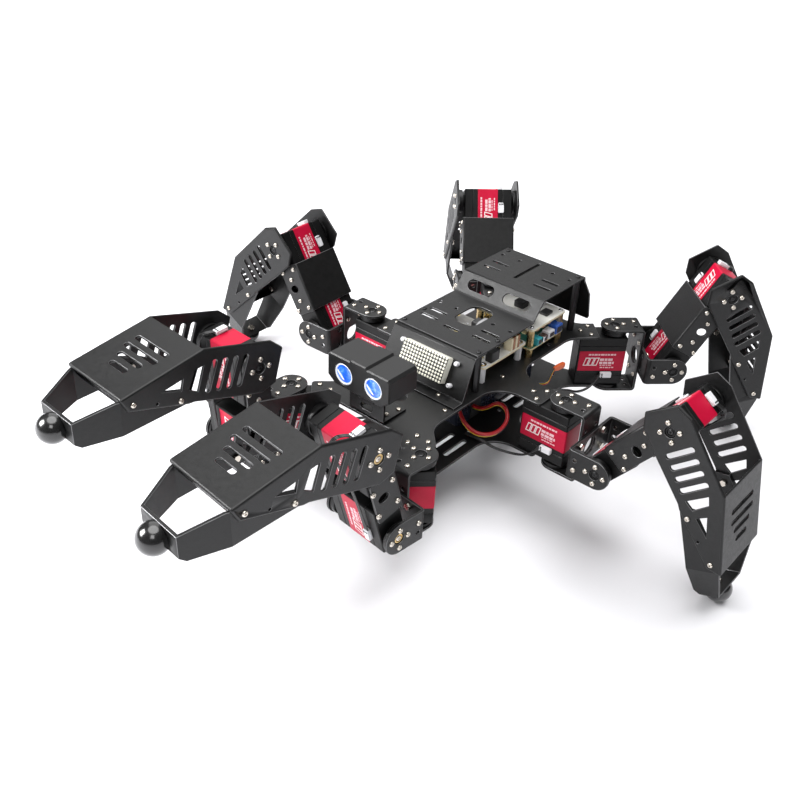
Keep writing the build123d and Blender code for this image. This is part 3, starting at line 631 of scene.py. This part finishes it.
def horn_side(gather, at, disc_low, shaft_low, ring_key):
    """One horn disc on +Z with its shaft, hub, centre screw and four bracket screws."""
    disc = (
        (0, disc_low),
        (HORN_R - 0.4, disc_low),
        (HORN_R, disc_low + 0.4),
        (HORN_R, EAR_IN - 0.25),
        (HORN_R - 0.2, EAR_IN - 0.02),
        (0, EAR_IN - 0.02),
    )
    gather.turned(disc, "disc", at, 36)
    shaft = ((0, shaft_low), (3.0, shaft_low), (3.0, disc_low + 0.1), (0, disc_low + 0.1))
    gather.turned(shaft, "black_steel", at)
    gather.turned(HUB, ring_key, at)
    centre = "black_steel" if ring_key == "disc" else "steel"
    pan_screw(gather, at @ spot(0, 0, EAR_OUT - 1.5), 2.2, 1.0, centre)
    for quarter in range(4):
        quarter_at = at @ spot(0, 0, 0, 90 * quarter)
        pan_screw(gather, quarter_at @ spot(SCREW_RING, 0, EAR_OUT, 20 + 70 * quarter))


OUT_DISC_LOW = CASE_OUT + BOSS_TALL + 0.3
IDLE_DISC_LOW = -CASE_IDLE + BOSS_TALL + 0.3
SHAFT_DEPTH = 6.8


def horn_pair(gather, at):
    """The driven disc on the output side and the idle disc opposite."""
    horn_side(gather, at, OUT_DISC_LOW, OUT_DISC_LOW - SHAFT_DEPTH, "disc")
    horn_side(gather, at @ FLIP, IDLE_DISC_LOW, IDLE_DISC_LOW - SHAFT_DEPTH, "brass")


# ---- Legs ----
CASE_SCREWS_OUT = ((-20.5, 7.0), (-20.5, -7.0), (-28.0, 0.0))
CASE_SCREWS_IDLE = ((-27.5, 8.0), (-27.5, -8.0))
FOOT_SCREWS = ((94.6, 13.5), (62.0, 2.2))
WEB_OUT = 22.75


def coxa_pieces(leg, places):
    """Discs and screws of the hip and lift joints."""
    body = f"{LEGS[leg]}_coxa"
    discs = Solids(f"coxa_discs_{leg}")
    horn_pair(discs, places["hip_bracket"])
    horn_pair(discs, places["pitch_bracket"])
    discs.done(body, [f"coxa_horns_{leg}"])
    # Four screws hold the two brackets back to back.
    joining = Solids(f"bracket_screws_{leg}")
    for y in (-7, 7):
        for z in (-15, 15):
            inner = places["hip_bracket"] @ place((WEB_OUT - SHEET, y, z), (0, 1, 0), (-1, 0, 0))
            pan_screw(joining, inner)
            other = places["pitch_bracket"] @ place((WEB_OUT - SHEET, y, z), (0, 1, 0), (-1, 0, 0))
            joining.prism(circle(2.7, 6), 0, 2.0, "steel", other, 0.25)
    for which in ("hip_bracket", "pitch_bracket"):
        for face in (Matrix(), FLIP):
            pan_screw(joining, places[which] @ face @ spot(16.5, 4, EAR_OUT, 25))
    joining.done(body)


def thigh_screws(leg, places):
    """Screws through the thigh frame's flanges into the two servo cases."""
    side = places["side"]
    gather = Solids(f"thigh_screws_{leg}")
    for spots, w in ((CASE_SCREWS_OUT, CASE_OUT + SHEET), (CASE_SCREWS_IDLE, CASE_IDLE - SHEET)):
        outward = 1 if w * side > 0 else -1
        for x, y in spots:
            for along in (-x, THIGH + x):
                seat = place((along, y, w * side), (1, 0, 0), (0, 0, outward))
                pan_screw(gather, places["thigh"] @ seat @ spot(0, 0, 0, 31 * along))
    gather.done(f"{LEGS[leg]}_femur")


# Jumper lead from the knee servo's plug to the lift servo's plug, in the thigh frame with
# its third value measured towards the output side.
JUMPER_AWAY = (
    (86.6, -2.0, -12.2),
    (87.8, -7.0, -14.0),
    (86.5, -12.0, -17.0),
    (80.0, -14.5, -18.5),
    (66.0, -14.0, -16.5),
    (48.0, -12.6, -14.0),
    (30.0, -12.6, -12.8),
    (18.0, -12.4, -12.6),
    (8.4, -11.8, -12.6),
)
JUMPER_OVER = (
    (86.6, -2.5, -12.0),
    (89.0, -6.5, -9.5),
    (88.5, -11.0, -6.0),
    (83.0, -14.5, -3.0),
    (70.0, -14.5, -5.0),
    (52.0, -12.8, -10.0),
    (32.0, -12.6, -12.6),
    (18.0, -12.4, -12.6),
    (8.4, -11.8, -12.6),
)


def servo_trim(leg, places):
    """Labels, plugs and the jumper lead of the two servos in a thigh."""
    body = f"{LEGS[leg]}_femur"
    side = places["side"]
    labels = Solids(f"thigh_labels_{leg}")
    servo_label(labels, places["pitch_servo"])
    servo_label(labels, places["knee_servo"])
    labels.done(body)

    plugs = Solids(f"thigh_plugs_{leg}")
    knee_seat = place((THIGH + CASE_NEAR, 0.8, -12.2 * side), (0, 1, 0), (1, 0, 0))
    plug(plugs, places["thigh"] @ knee_seat)
    pitch_seat = place((4.0, -CASE_HALF_Y, -12.6 * side), (-1, 0, 0), (0, -1, 0))
    plug(plugs, places["thigh"] @ pitch_seat)
    for along, ahead in ((7.5, 1), (THIGH - 7.5, -1)):
        seat = place((along, CASE_HALF_Y, -12.6 * side), (ahead, 0, 0), (0, 1, 0))
        plug(plugs, places["thigh"] @ seat, tall=1.4)
    plugs.done(body)

    route = JUMPER_OVER if leg == "lf" else JUMPER_AWAY
    last = len(route) - 1
    runs = []
    for lane in (-1, 0, 1):
        run = []
        for index, (x, y, w) in enumerate(route):
            apart = 1.4 if index in (0, last) else 1.05
            run.append(places["thigh"] @ Vector((x, y, (w + lane * apart) * side)))
        runs.append(run)
    wire(f"thigh_jumper_{leg}", runs, 0.5, ["lead"] * 3, body)


def tibia_pieces(leg, places):
    """Knee discs, foot screws and nuts."""
    body = f"{LEGS[leg]}_tibia"
    discs = Solids(f"knee_discs_{leg}")
    horn_pair(discs, places["knee_horns"])
    discs.done(body, [f"knee_horns_{leg}"])
    screws = Solids(f"foot_screws_{leg}")
    for outward in (-1, 1):
        for x, y in FOOT_SCREWS:
            seat = place((x, y, EAR_OUT * outward), (1, 0, 0), (0, 0, outward))
            pan_screw(screws, places["shin"] @ seat @ spot(0, 0, 0, x))
            nut = place((x, y, (EAR_IN - SHEET - 0.05) * outward), (1, 0, 0), (0, 0, -outward))
            screws.prism(circle(2.6, 6), 0, 1.8, "steel", places["shin"] @ nut, 0.25)
    stud = places["shin"] @ place((BALL_FLAT - SHEET, 0, 0), (0, 1, 0), (-1, 0, 0))
    screws.prism(circle(3.2, 6), 0.02, 2.6, "steel", stud, 0.3)
    screws.done(body)


# ---- Chassis ----
MID_HEIGHT = 24.75
PLUG_SEAT = (-4.5, -CASE_HALF_Y, -12.75)
MID_LEAD = (
    (-9.4, -11.7, 12.0),
    (-13.5, -13.2, 6.5),
    (-19.5, -15.5, 1.2),
    (-30.0, -18.0, -0.8),
    (-43.0, -22.0, -0.4),
    (-51.5, -25.8, 4.6),
    (-66.0, -28.0, 5.0),
)
CORNER_LEAD = (
    (-9.4, -11.7, 12.0),
    (-13.0, -13.4, 6.5),
    (-19.0, -16.5, 1.5),
    (-29.0, -20.0, 0.0),
    (-37.5, -23.0, 4.6),
    (-52.0, -25.0, 5.4),
    (-66.0, -28.0, 4.6),
)
BATTERY_LEAD = (
    (6.0, 17.05, 15.0),
    (6.0, 25.0, 15.0),
    (6.5, 33.5, 21.5),
    (7.5, 41.5, 30.0),
    (10.5, 51.5, 31.0),
    (15.0, 57.0, 23.0),
    (24.0, 53.0, 14.0),
    (32.0, 41.0, 12.0),
    (32.0, 27.0, 18.0),
    (25.0, 16.0, 28.0),
    (15.5, 10.5, 39.0),
    (14.0, 10.0, 52.0),
)


def hip_trim():
    """Labels, plugs and three-wire leads of the six hip servos."""
    labels = Solids("hip_labels")
    plugs = Solids("hip_plugs")
    runs = []
    for leg in LEGS:
        at = PLACES[leg]["hip_servo"]
        servo_label(labels, at)
        plug(plugs, at @ place(PLUG_SEAT, (1, 0, 0), (0, -1, 0)))
        ground = at @ Matrix.Translation((0, 0, -MID_HEIGHT))
        path = MID_LEAD if leg in ("lm", "rm") else CORNER_LEAD
        for lane in (-1, 0, 1):
            run = [ground @ Vector((x, y + 0.95 * lane, z)) for x, y, z in path]
            run[0] = ground @ (Vector(path[0]) + Vector((0, 0, 1.4 * lane)))
            runs.append(run)
    labels.done(CHASSIS)
    plugs.done(CHASSIS)
    wire("hip_leads", runs, 0.5, ["lead"] * len(runs), CHASSIS, ["leads"])


def battery_trim():
    """The red battery lead with its two thin companions, and the strap round the pack."""
    beside = [Vector(point) + Vector((0.4, -0.3, -1.9)) for point in BATTERY_LEAD]
    under = [Vector(point) + Vector((-1.0, 0.6, -1.9)) for point in BATTERY_LEAD]
    for run in (beside, under):
        run[0] = Vector(BATTERY_LEAD[0]) + Vector((0, 0, -2.2))
    under[0] += Vector((-1.3, 0, 0))
    wire("battery_lead", [BATTERY_LEAD], 1.5, ["lead_red"], CHASSIS)
    thin = ["lead_yellow", "lead"]
    wire("battery_sense_leads", [beside, under], 0.5, thin, CHASSIS)
    battery_plug()
    low, high = (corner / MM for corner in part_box("battery"))
    width, height = high.y - low.y + 0.6, high.z - low.z + 0.3
    strap = Solids("battery_straps")
    for x in (-58.0, 2.0):
        at = place((x, 0, low.z + height / 2), (0, 1, 0), (1, 0, 0))
        outer, inner = rounded(width + 1.6, height + 0.6, 2.4), rounded(width, height, 2.0)
        levels = ((outer, -6), (outer, 6), (inner, 6), (inner, -6))
        rings = [[(px, py, z) for px, py in ring] for ring, z in levels]
        strap.skin(rings, "strap", at, closed=True)
    strap.done(CHASSIS)


PLUG_TIP, PLUG_ROOT = Vector((-75.0, 47.0, 30.0)), Vector((-64.0, 44.5, 29.0))
PLUG_BENDS = (
    (-58.0, 46.0, 26.5),
    (-50.0, 49.0, 24.5),
    (-43.0, 46.0, 25.0),
    (-40.0, 34.0, 22.0),
    (-40.0, 18.5, 20.0),
)


def battery_plug():
    """The balance plug beside the battery: a tapered body and three leads into the robot."""
    along = PLUG_ROOT - PLUG_TIP
    gather = Solids("battery_plug")
    rings = []
    for step, wide, tall in ((0.0, 3.6, 2.4), (0.1, 4.6, 3.2), (0.65, 4.6, 3.2), (1.0, 2.8, 2.2)):
        ring = rounded(wide, tall, 0.6)
        rings.append([(x, y, step * along.length) for x, y in ring])
    gather.skin(rings, "orange", place(PLUG_TIP, (0, 0, 1), along))
    gather.done(CHASSIS)
    runs = []
    for lane in (-1, 0, 1):
        start = PLUG_ROOT + Vector((-0.6, 0.2, 0.9 * lane))
        apart = Vector((0.3 * lane, 0, 1.1 * lane))
        runs.append([start] + [Vector(bend) + apart for bend in PLUG_BENDS])
    keys = ["lead_red", "lead_yellow", "lead"]
    wire("battery_plug_leads", runs, 0.5, keys, CHASSIS)


PLATE_SCREWS = ((66.4, 35.6), (66.4, -35.6), (0, 38), (0, -38))
PANEL_SCREWS = ((55.6, 20.7), (55.6, -20.7))
HEAD_SCREWS = ((90.7, 13.0), (90.7, -13.0), (101.6, 11.1), (101.6, -11.1))
DECK_SHEET = 1.5
LOW_DECK, HIGH_DECK = 80.5, 95.0
DECK_SCREWS = ((30.5, 35.0), (30.5, -35.0), (7.5, 35.0), (7.5, -35.0))
PANEL_POSTS = ((30.5, 35.0), (30.5, -35.0))
CONTROLLER_POSTS = ((17.4, 30.7), (17.4, -30.7), (-29.0, 30.7), (-29.0, -30.7))
DECK_POSTS = ((-99.0, 34.0), (-99.0, -34.0))
COMPUTER_POSTS = ((-78.5, -14.5), (-78.5, 34.5), (-38.5, -14.5), (-38.5, 34.5))


def chassis_screws():
    """Screws of the plates, arms, panel, head bracket and deck."""
    gather = Solids("chassis_screws")
    for leg in LEGS:
        at = PLACES[leg]["hip_servo"]
        for x, y in CASE_SCREWS_OUT:
            pan_screw(gather, at @ spot(x, y, PLATE_TOP - MID_HEIGHT, 40 * y + x))
        for x, y in CASE_SCREWS_IDLE:
            flush_screw(gather, at @ FLIP @ spot(x, y, MID_HEIGHT))
    for x, y in PLATE_SCREWS:
        pan_screw(gather, spot(x, y, PLATE_TOP, x + y))
    for x, y in PANEL_SCREWS:
        pan_screw(gather, spot(x, y, PLATE_TOP + DECK_SHEET, y))
    for x, y in HEAD_SCREWS:
        pan_screw(gather, spot(x, y, PLATE_TOP + SHEET, 3 * y))
    for x, y in DECK_SCREWS:
        pan_screw(gather, spot(x, y, LOW_DECK, x + y), 2.0, 1.0, "black_steel")
    for x, y in DECK_POSTS:
        pan_screw(gather, spot(x, y, HIGH_DECK, x + y), 2.0, 1.0, "black_steel")
    gather.done(CHASSIS)


COMPUTER_BOX = (-82.0, -35.0, -18.0, 38.0)
EXPANSION_BOX = (-82.0, -35.0, -18.0, 38.0)
CONTROLLER_BOX = (-33.0, 22.0, -35.5, 35.5)
COMPUTER_LOW, EXPANSION_LOW, CONTROLLER_LOW = 55.0, 71.4, 61.4
BOARD = 1.6
POST_R = 2.75
GAP = 0.05


def board(gather, box, low, key, edge_key="pcb_edge"):
    """One circuit board: a core with a thin coloured mask on both sides."""
    x0, x1, y0, y1 = box
    at = spot((x0 + x1) / 2, (y0 + y1) / 2, low)
    gather.block((x1 - x0, y1 - y0, BOARD), edge_key, at, 0.05, 3.0)
    face = rounded(x1 - x0 - 0.1, y1 - y0 - 0.1, 3.0)
    gather.prism(face, BOARD - 0.1, BOARD + 0.06, key, at, 0.03)
    gather.prism(face, -0.06, 0.1, key, at, 0.03)


def pins(gather, at, count, rows, pitch=2.54, tall=6.0):
    """A pin header: a black strip with square gold pins."""
    gather.block((count * pitch, rows * pitch, 2.5), "chip", at, 0.2, 0.3)
    for k in range(count):
        for row in range(rows):
            x = (k - (count - 1) / 2) * pitch
            y = (row - (rows - 1) / 2) * pitch
            gather.prism(slab(0.64, 0.64), 0, tall, "gold", at @ spot(x, y), 0.1)


def small_parts(gather, box, top, seed, count, keep_off=()):
    """Small chips and capacitors scattered at random over a board, square to its edges and kept
    off the given areas.
    """
    draw = random.Random(seed)
    x0, x1, y0, y1 = box
    for _ in range(count):
        x, y = draw.uniform(x0 + 5, x1 - 5), draw.uniform(y0 + 5, y1 - 5)
        turn = draw.choice((0, 90))
        size = draw.choice(((1.6, 0.8, 0.5), (2.0, 1.25, 0.7), (3.2, 1.6, 1.0), (4.0, 4.0, 1.0)))
        key = draw.choice(("chip", "chip", "pcb_edge", "silver"))
        if any(a - 3 < x < b + 3 and c - 3 < y < d + 3 for a, b, c, d in keep_off):
            continue
        gather.block(size, key, spot(x, y, top, turn), 0.08, 0.12)


def controller_board():
    """White board under the front of the deck, with its connectors along the left edge."""
    gather = Solids("controller_board")
    top = CONTROLLER_LOW + BOARD
    board(gather, CONTROLLER_BOX, CONTROLLER_LOW, "pcb_white", "cream")
    edge = CONTROLLER_BOX[3]
    gather.block((10.0, 6.0, 8.6), "chip", spot(7.5, edge - 3.6, top), 0.3, 0.6)
    for k in range(4):
        key = "brown" if k % 2 else "cream"
        gather.block((2.5, 7.0, 11.0), key, spot(-13.2 - 2.9 * k, edge - 4.0, top), 0.2, 0.3)
    gather.block((6.0, 9.0, 8.5), "chip", spot(-29.0, edge - 13.0, top), 0.3, 0.6)
    # Seen through the opening of the deck: a tall black part beside the grey ribbon.
    gather.block((9.0, 10.0, 12.5), "chip", spot(-14.5, 2.5, top), 0.4, 0.8)
    for k in range(5):
        gather.block((2.5, 7.5, 8.5), "plug_white", spot(14.0, -22.0 + 10.0 * k, top), 0.25, 0.4)
        gather.block((9.0, 2.5, 8.5), "plug_white", spot(-24.0 + 10.0 * k, -31.0, top), 0.25, 0.4)
    small_parts(gather, (-30, 18, -26, 32), top, 5, 60, [(-22, -7, -6, 12), (2, 13, 28, 36)])
    for x, y in CONTROLLER_POSTS:
        ring = ((3.0, 0), (3.0, 0.12), (1.7, 0.12), (1.7, 0), (3.0, 0))
        gather.turned(ring, "gold", spot(x, y, top))
    # Darker parts on the underside follow the left edge.
    gather.block((30.0, 3.0, 2.2), "brown", spot(-4.0, edge - 3.0, CONTROLLER_LOW - 2.3), 0.2, 0.4)
    gather.done(CHASSIS, ["circuit_boards"])


def expansion_board():
    """White board over the computer, its power parts seen under the raised deck."""
    gather = Solids("expansion_board")
    top = EXPANSION_LOW + BOARD
    edge = EXPANSION_BOX[3]
    board(gather, EXPANSION_BOX, EXPANSION_LOW, "pcb_white", "cream")
    gather.block((9.0, 7.0, 2.2), "chip", spot(-66.0, 29.0, top), 0.2, 0.4)
    gather.block((9.0, 9.0, 5.5), "chip", spot(-62.0, 8.0, top), 0.5, 1.2)
    gather.block((12.0, 12.0, 1.6), "chip", spot(-46.0, 4.0, top))
    for k in range(4):
        gather.block((7.5, 3.6, 6.0), "plug_white", spot(-75.0, -8 + 9 * k, top), 0.3, 0.5)
    gather.block((3.0, 12.0, 7.0), "plug_white", spot(-38.0, 13.0, top), 0.3, 0.5)
    gather.block((8.0, 4.0, 6.5), "chip", spot(-44.0, -12.0, top), 0.3, 0.5)
    for x in (-64.0, -56.0, -48.0):
        coil = ((0, -4.6), (2.9, -4.6), (3.3, -4.2), (3.3, -0.3), (0, -0.3))
        gather.turned(coil, "brown", spot(x, edge - 6.0, EXPANSION_LOW))
    small_parts(gather, EXPANSION_BOX, top, 9, 60, [(-82, -24, 24, 38), (-68, -40, -16, 14)])
    gather.done(CHASSIS)


def computer_board():
    """Green board on the top plate with blue, teal and white sockets along its left edge."""
    gather = Solids("computer_board")
    top = COMPUTER_LOW + BOARD
    edge = COMPUTER_BOX[3]
    board(gather, COMPUTER_BOX, COMPUTER_LOW, "pcb_green")
    for x, wide, deep, tall, key in (
        (-73.0, 9.0, 8.0, 7.5, "blue"),
        (-62.5, 8.0, 7.0, 6.0, "plug_white"),
        (-54.0, 6.0, 6.0, 5.0, "silver"),
        (-46.0, 6.0, 7.0, 6.0, "teal"),
    ):
        gather.block((wide, deep, tall), key, spot(x, edge - deep / 2 + 1.0, top), 0.3, 0.5)
        # A dark slab in each socket's face: painted shade in the opening.
        mouth = place((x, edge + 1.0, top + tall / 2 - 0.2), (1, 0, 0), (0, 1, 0))
        gather.block((wide - 2.4, tall - 2.6, 0.3), "mouth_shade", mouth, 0.05, 0.2)
    gather.block((13.0, 13.0, 2.2), "silver", spot(-58.0, 8.0, top))
    gather.block((10.0, 10.0, 1.2), "chip", spot(-44.0, 8.0, top))
    pins(gather, spot(-58.0, -13.5, top), 13, 2, 2.54, 8.0)
    small_parts(gather, COMPUTER_BOX, top, 3, 60, [(-80, 3, 26, 38), (-80, -38, -18, -9)])
    gather.done(CHASSIS)


def board_posts():
    """Hexagonal posts between the plate, boards and deck."""
    gather = Solids("board_posts")
    panel_low = LOW_DECK - 2 * DECK_SHEET
    stacks = (
        (COMPUTER_POSTS, PLATE_TOP, COMPUTER_LOW, "brass"),
        (COMPUTER_POSTS, COMPUTER_LOW + BOARD, EXPANSION_LOW, "brass"),
        (CONTROLLER_POSTS, PLATE_TOP, CONTROLLER_LOW, "nylon"),
        (PANEL_POSTS, PLATE_TOP, panel_low, "black_steel"),
        (DECK_POSTS, PLATE_TOP, HIGH_DECK - DECK_SHEET, "black_steel"),
    )
    for spots, low, high, key in stacks:
        for x, y in spots:
            gather.prism(circle(POST_R, 6), low + GAP, high - GAP, key, spot(x, y, 0), 0.2)
    for spots, top in ((COMPUTER_POSTS, EXPANSION_LOW), (CONTROLLER_POSTS, CONTROLLER_LOW)):
        for x, y in spots:
            pan_screw(gather, spot(x, y, top + BOARD, x + y), 1.9, 1.2, "silver")
    gather.done(CHASSIS)


def deck_wiring():
    """The grey ribbon and the bundle seen through the deck's opening."""
    ribbon = Solids("ribbon_cable")
    width, thick = 5.0, 0.6
    path = ((-24.0, 66.0), (-22.4, 72.0), (-20.2, 76.4), (-17.0, 77.9), (-9.0, 77.6), (-2.0, 74.0))
    rings = []
    for x, z in path:
        corners = ((-width / 2, 0), (width / 2, 0), (width / 2, thick), (-width / 2, thick))
        rings.append([(x, y, z + dz) for y, dz in corners])
    ribbon.skin(rings, "ribbon", spot(0, 7.6, 0))
    ribbon.done(CHASSIS)
    runs = []
    for k in range(6):
        y = 11.5 + 1.3 * k
        bends = ((-30.0, 0.0, 74.2), (-22.0, 1.0, 77.0), (-12.0, -1.5, 76.9), (0.0, -2.0, 75.0))
        runs.append([(x, y + aside, z) for x, aside, z in bends])
    wire("board_leads", runs, 0.55, ["lead"] * 6, CHASSIS)


PANEL_TOP_X, PANEL_FOOT_X = 38.0, 52.0
MATRIX_WIDE, MATRIX_HIGH, MATRIX_THICK = 42.0, 20.0, 6.5


def matrix_frame():
    """Frame at the back of the LED block: +X to the left, +Y up the slope, +Z outwards."""
    low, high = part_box("led_matrix")
    rise = LOW_DECK - PLATE_TOP - 2 * DECK_SHEET
    tilt = Vector((PANEL_TOP_X - PANEL_FOOT_X, 0, rise)).normalized()
    normal = Vector((tilt.z, 0, -tilt.x))
    centre = (low + high) / (2 * MM)
    return place(centre - normal * MATRIX_THICK / 2, (0, 1, 0), normal)


LED_PITCH = 2.58


NYLON_SCREW = (
    (0, -0.3),
    (1.6, -0.3),
    (1.75, 0),
    (1.75, 2.9),
    (1.4, 3.6),
    (0.8, 3.7),
    (0.7, 2.8),
    (0, 2.8),
)


def led_block():
    """LED matrix: cream body, dark face and a grid of cream lenses."""
    at = matrix_frame()
    gather = Solids("led_block")
    gather.block((MATRIX_WIDE, MATRIX_HIGH, MATRIX_THICK - 0.5), "led_body", at, 0.3, 0.8)
    face = at @ spot(0, 0, MATRIX_THICK - 0.6)
    gather.block((MATRIX_WIDE - 0.5, MATRIX_HIGH - 0.5, 0.35), "led_face", face, 0.08, 0.6)
    dot = Solids("led_lens")
    dot.turned(((0, 0), (0.98, 0), (0.98, 0.25), (0.7, 0.4), (0, 0.46)), "led_dot", Matrix(), 12)
    for column in range(16):
        for row in range(8):
            x, y = (column - 7.5) * LED_PITCH, (row - 3.5) * LED_PITCH
            gather.copy_of(dot, at @ spot(x, y, MATRIX_THICK - 0.42))
    gather.done(CHASSIS, ["led_matrix"])

    screws = Solids("panel_nylon_screws")
    for x in (-24.7, 25.8):
        for slope in (9.2, -7.6):
            screws.turned(NYLON_SCREW, "nylon", at @ spot(x, -slope), 20)
    screws.done(CHASSIS)


EYE_Y, EYE_Z, EYE_R = 13.5, 80.05, 8.0
HEAD_FRONT, SENSOR_BACK = 120.0, 104.0
# Size of the painted highlight on each lens.
GLINT_LONG, GLINT_WIDE = 4.4, 0.85
# Radius of the eye's lens and how far each step lies behind the rim.
LENS_STEPS = (
    (6.8, -1.05),
    (6.8, -0.85),
    (6.2, -0.62),
    (5.6, -0.7),
    (5.2, -0.5),
    (3.4, -0.34),
    (1.6, -0.26),
    (0, -0.24),
)


def eyes():
    """Range sensor: its board and two barrels with pale rims and blue faces, and a painted
    highlight on each lens.
    """
    sensor = Solids("range_sensor")
    board_at = place((SENSOR_BACK, 0, EYE_Z), (0, 1, 0), (1, 0, 0))
    sensor.block((42, 16.4, BOARD), "pcb_green", board_at, 0.1, 1.5)
    face = Solids("sensor_eyes")
    front = HEAD_FRONT - 0.4 - SENSOR_BACK
    for y in (-EYE_Y, EYE_Y):
        at = board_at @ spot(y, 0)
        barrel = (
            (0, BOARD),
            (EYE_R, BOARD),
            (EYE_R, front - 1.2),
            (EYE_R - 0.2, front - 1.0),
            (0, front - 1.0),
        )
        sensor.turned(barrel, "chip", at, 40)
        rim = (
            (EYE_R, front - 1.0),
            (EYE_R, front - 0.3),
            (EYE_R - 0.3, front),
            (EYE_R - 0.8, front),
            (EYE_R - 1.15, front - 0.35),
            (EYE_R - 1.15, front - 1.0),
            (EYE_R, front - 1.0),
        )
        face.turned(rim, "eye_rim", at, 40)
        lens = [(0, front - 1.05)]
        lens += [(radius, front + z) for radius, z in LENS_STEPS]
        face.turned(lens, "eye", at, 40)
        # A pale sliver in the rim's glowing colour lies on each lens: a painted highlight.
        glint = [(GLINT_LONG * x, GLINT_WIDE * y) for x, y in circle(1.0)]
        glint_at = at @ spot(-2.9, -1.9, 0, -42)
        face.prism(glint, front - 0.75, front - 0.24, "eye_rim", glint_at, 0.03)
    sensor.done(CHASSIS, ["head_sensor"])
    face.done(CHASSIS)


# ---- CAD parts that stay: finer edges with painted highlights, and their finishes ----
def dress(node, key, edge_key=None, width=0.0):
    """Give a CAD part its finish, and where asked narrow bevels in a lighter second colour: a
    painted highlight along the edges, on sheet parts also bare-metal wear.
    """
    shown = frame["nodes"][node]
    shown.data.materials.clear()
    shown.data.materials.append(M[key])
    if edge_key is None:
        return
    shown.data.materials.append(M[edge_key])
    weld = shown.modifiers.new("join", "WELD")
    weld.merge_threshold = 1e-6
    flatten = shown.modifiers.new("flat_faces", "DECIMATE")
    flatten.decimate_type = "DISSOLVE"
    flatten.angle_limit = radians(0.5)
    # The bevel faces take the second colour, a painted highlight along the edges.
    bevel = shown.modifiers.new("edge_wear_and_painted_highlights", "BEVEL")
    bevel.width = width * MM
    bevel.segments = 1
    bevel.limit_method = "ANGLE"
    bevel.angle_limit = radians(50)
    bevel.material = 1
    bevel.use_clamp_overlap = False


def dress_all():
    """Finishes of every CAD part that is shown as it is."""
    for node in ("bottom_plate", "top_plate", "deck", "front_panel", "head_bracket"):
        dress(node, "sheet", "edge", 0.22)
    dress("hip_servos", "case", "case_edge", 0.25)
    dress("battery", "battery")
    dress("head_housing", "plastic", "plastic_edge", 0.3)
    for leg in LEGS:
        for part in ("coxa_brackets", "femur_frame", "tibia_shell", "foot_bracket"):
            dress(f"{part}_{leg}", "sheet", "edge", 0.22)
        dress(f"femur_servos_{leg}", "case", "case_edge", 0.25)
        dress(f"foot_ball_{leg}", "rubber")


# ---- Stage ----
# The robot stands with its right side a little low, so the floor rises to the right.
FLOOR_MIDDLE, FLOOR_LEAN = -43.2, 0.024


FLOOR_REACH = 9.0


def studio():
    """Pale floor and soft overhead light."""
    mesh = bmesh.new()
    for x in (-FLOOR_REACH, FLOOR_REACH):
        for y in (-FLOOR_REACH, FLOOR_REACH):
            mesh.verts.new((x, y, FLOOR_MIDDLE * MM - FLOOR_LEAN * y))
    corners = list(mesh.verts)
    mesh.faces.new((corners[0], corners[2], corners[3], corners[1]))
    data = bpy.data.meshes.new("studio_floor")
    mesh.to_mesh(data)
    mesh.free()
    data.materials.append(M["floor"])
    floor = bpy.data.objects.new("studio_floor", data)
    bpy.context.scene.collection.objects.link(floor)

    world = bpy.data.worlds.new("soft_white")
    world.use_nodes = True
    backdrop = world.node_tree.nodes["Background"]
    backdrop.inputs["Color"].default_value = (1, 1, 1, 1)
    backdrop.inputs["Strength"].default_value = 0.11
    bpy.context.scene.world = world
    bpy.context.scene.view_settings.view_transform = "Standard"

    sky = bpy.data.lights.new("soft_sky", "SUN")
    sky.energy = 3.4
    sky.angle = radians(56)
    aim("soft_sky", sky, (-0.1, 0.0, 1.0))
    for name, stand, size, power in (
        ("back_softbox", (-0.85, -1.0, 1.4), 1.6, 12.0),
        ("riser_glow", (1.0, -0.77, 0.78), 0.6, 30.0),
        ("front_fill", (0.9, 0.75, 1.1), 0.5, 4.0),
    ):
        light = bpy.data.lights.new(name, "AREA")
        light.size = size
        light.energy = power
        aim(name, light, stand)


LAMP_TARGET = Vector((0, 0, 0.03))


def aim(name, light, stand):
    """Put a light where it stands, turned to the robot."""
    lamp = bpy.data.objects.new(name, light)
    lamp.location = stand
    ahead = LAMP_TARGET - Vector(stand)
    lamp.rotation_euler = ahead.to_track_quat("-Z", "Y").to_euler()
    bpy.context.scene.collection.objects.link(lamp)


def camera():
    """The view of the photo, with its slight roll."""
    azimuth, elevation, roll = (radians(angle) for angle in (39.38, 33.43, 2.93))
    distance = 0.76075
    target = Vector((0.04751, -0.02163, 0.02113))
    level = cos(elevation)
    towards = Vector((cos(azimuth) * level, sin(azimuth) * level, sin(elevation)))
    right = UP.cross(towards).normalized()
    above = towards.cross(right)
    turned_right = right * cos(roll) + above * sin(roll)
    turned_above = above * cos(roll) - right * sin(roll)
    matrix = Matrix((turned_right, turned_above, towards)).transposed().to_4x4()
    matrix.translation = target + towards * distance
    lens = bpy.data.cameras.new("photo_view")
    lens.lens = 44.53
    lens.sensor_width = 36.0
    lens.clip_start = 0.01
    lens.clip_end = 50.0
    made = bpy.data.objects.new("photo_view", lens)
    made.matrix_world = matrix
    bpy.context.scene.collection.objects.link(made)
    bpy.context.scene.camera = made


# ---- Build ----
dress_all()
for leg, places in PLACES.items():
    coxa_pieces(leg, places)
    thigh_screws(leg, places)
    servo_trim(leg, places)
    tibia_pieces(leg, places)
hip_trim()
battery_trim()
chassis_screws()
controller_board()
expansion_board()
computer_board()
board_posts()
deck_wiring()
led_block()
eyes()
studio()
camera()
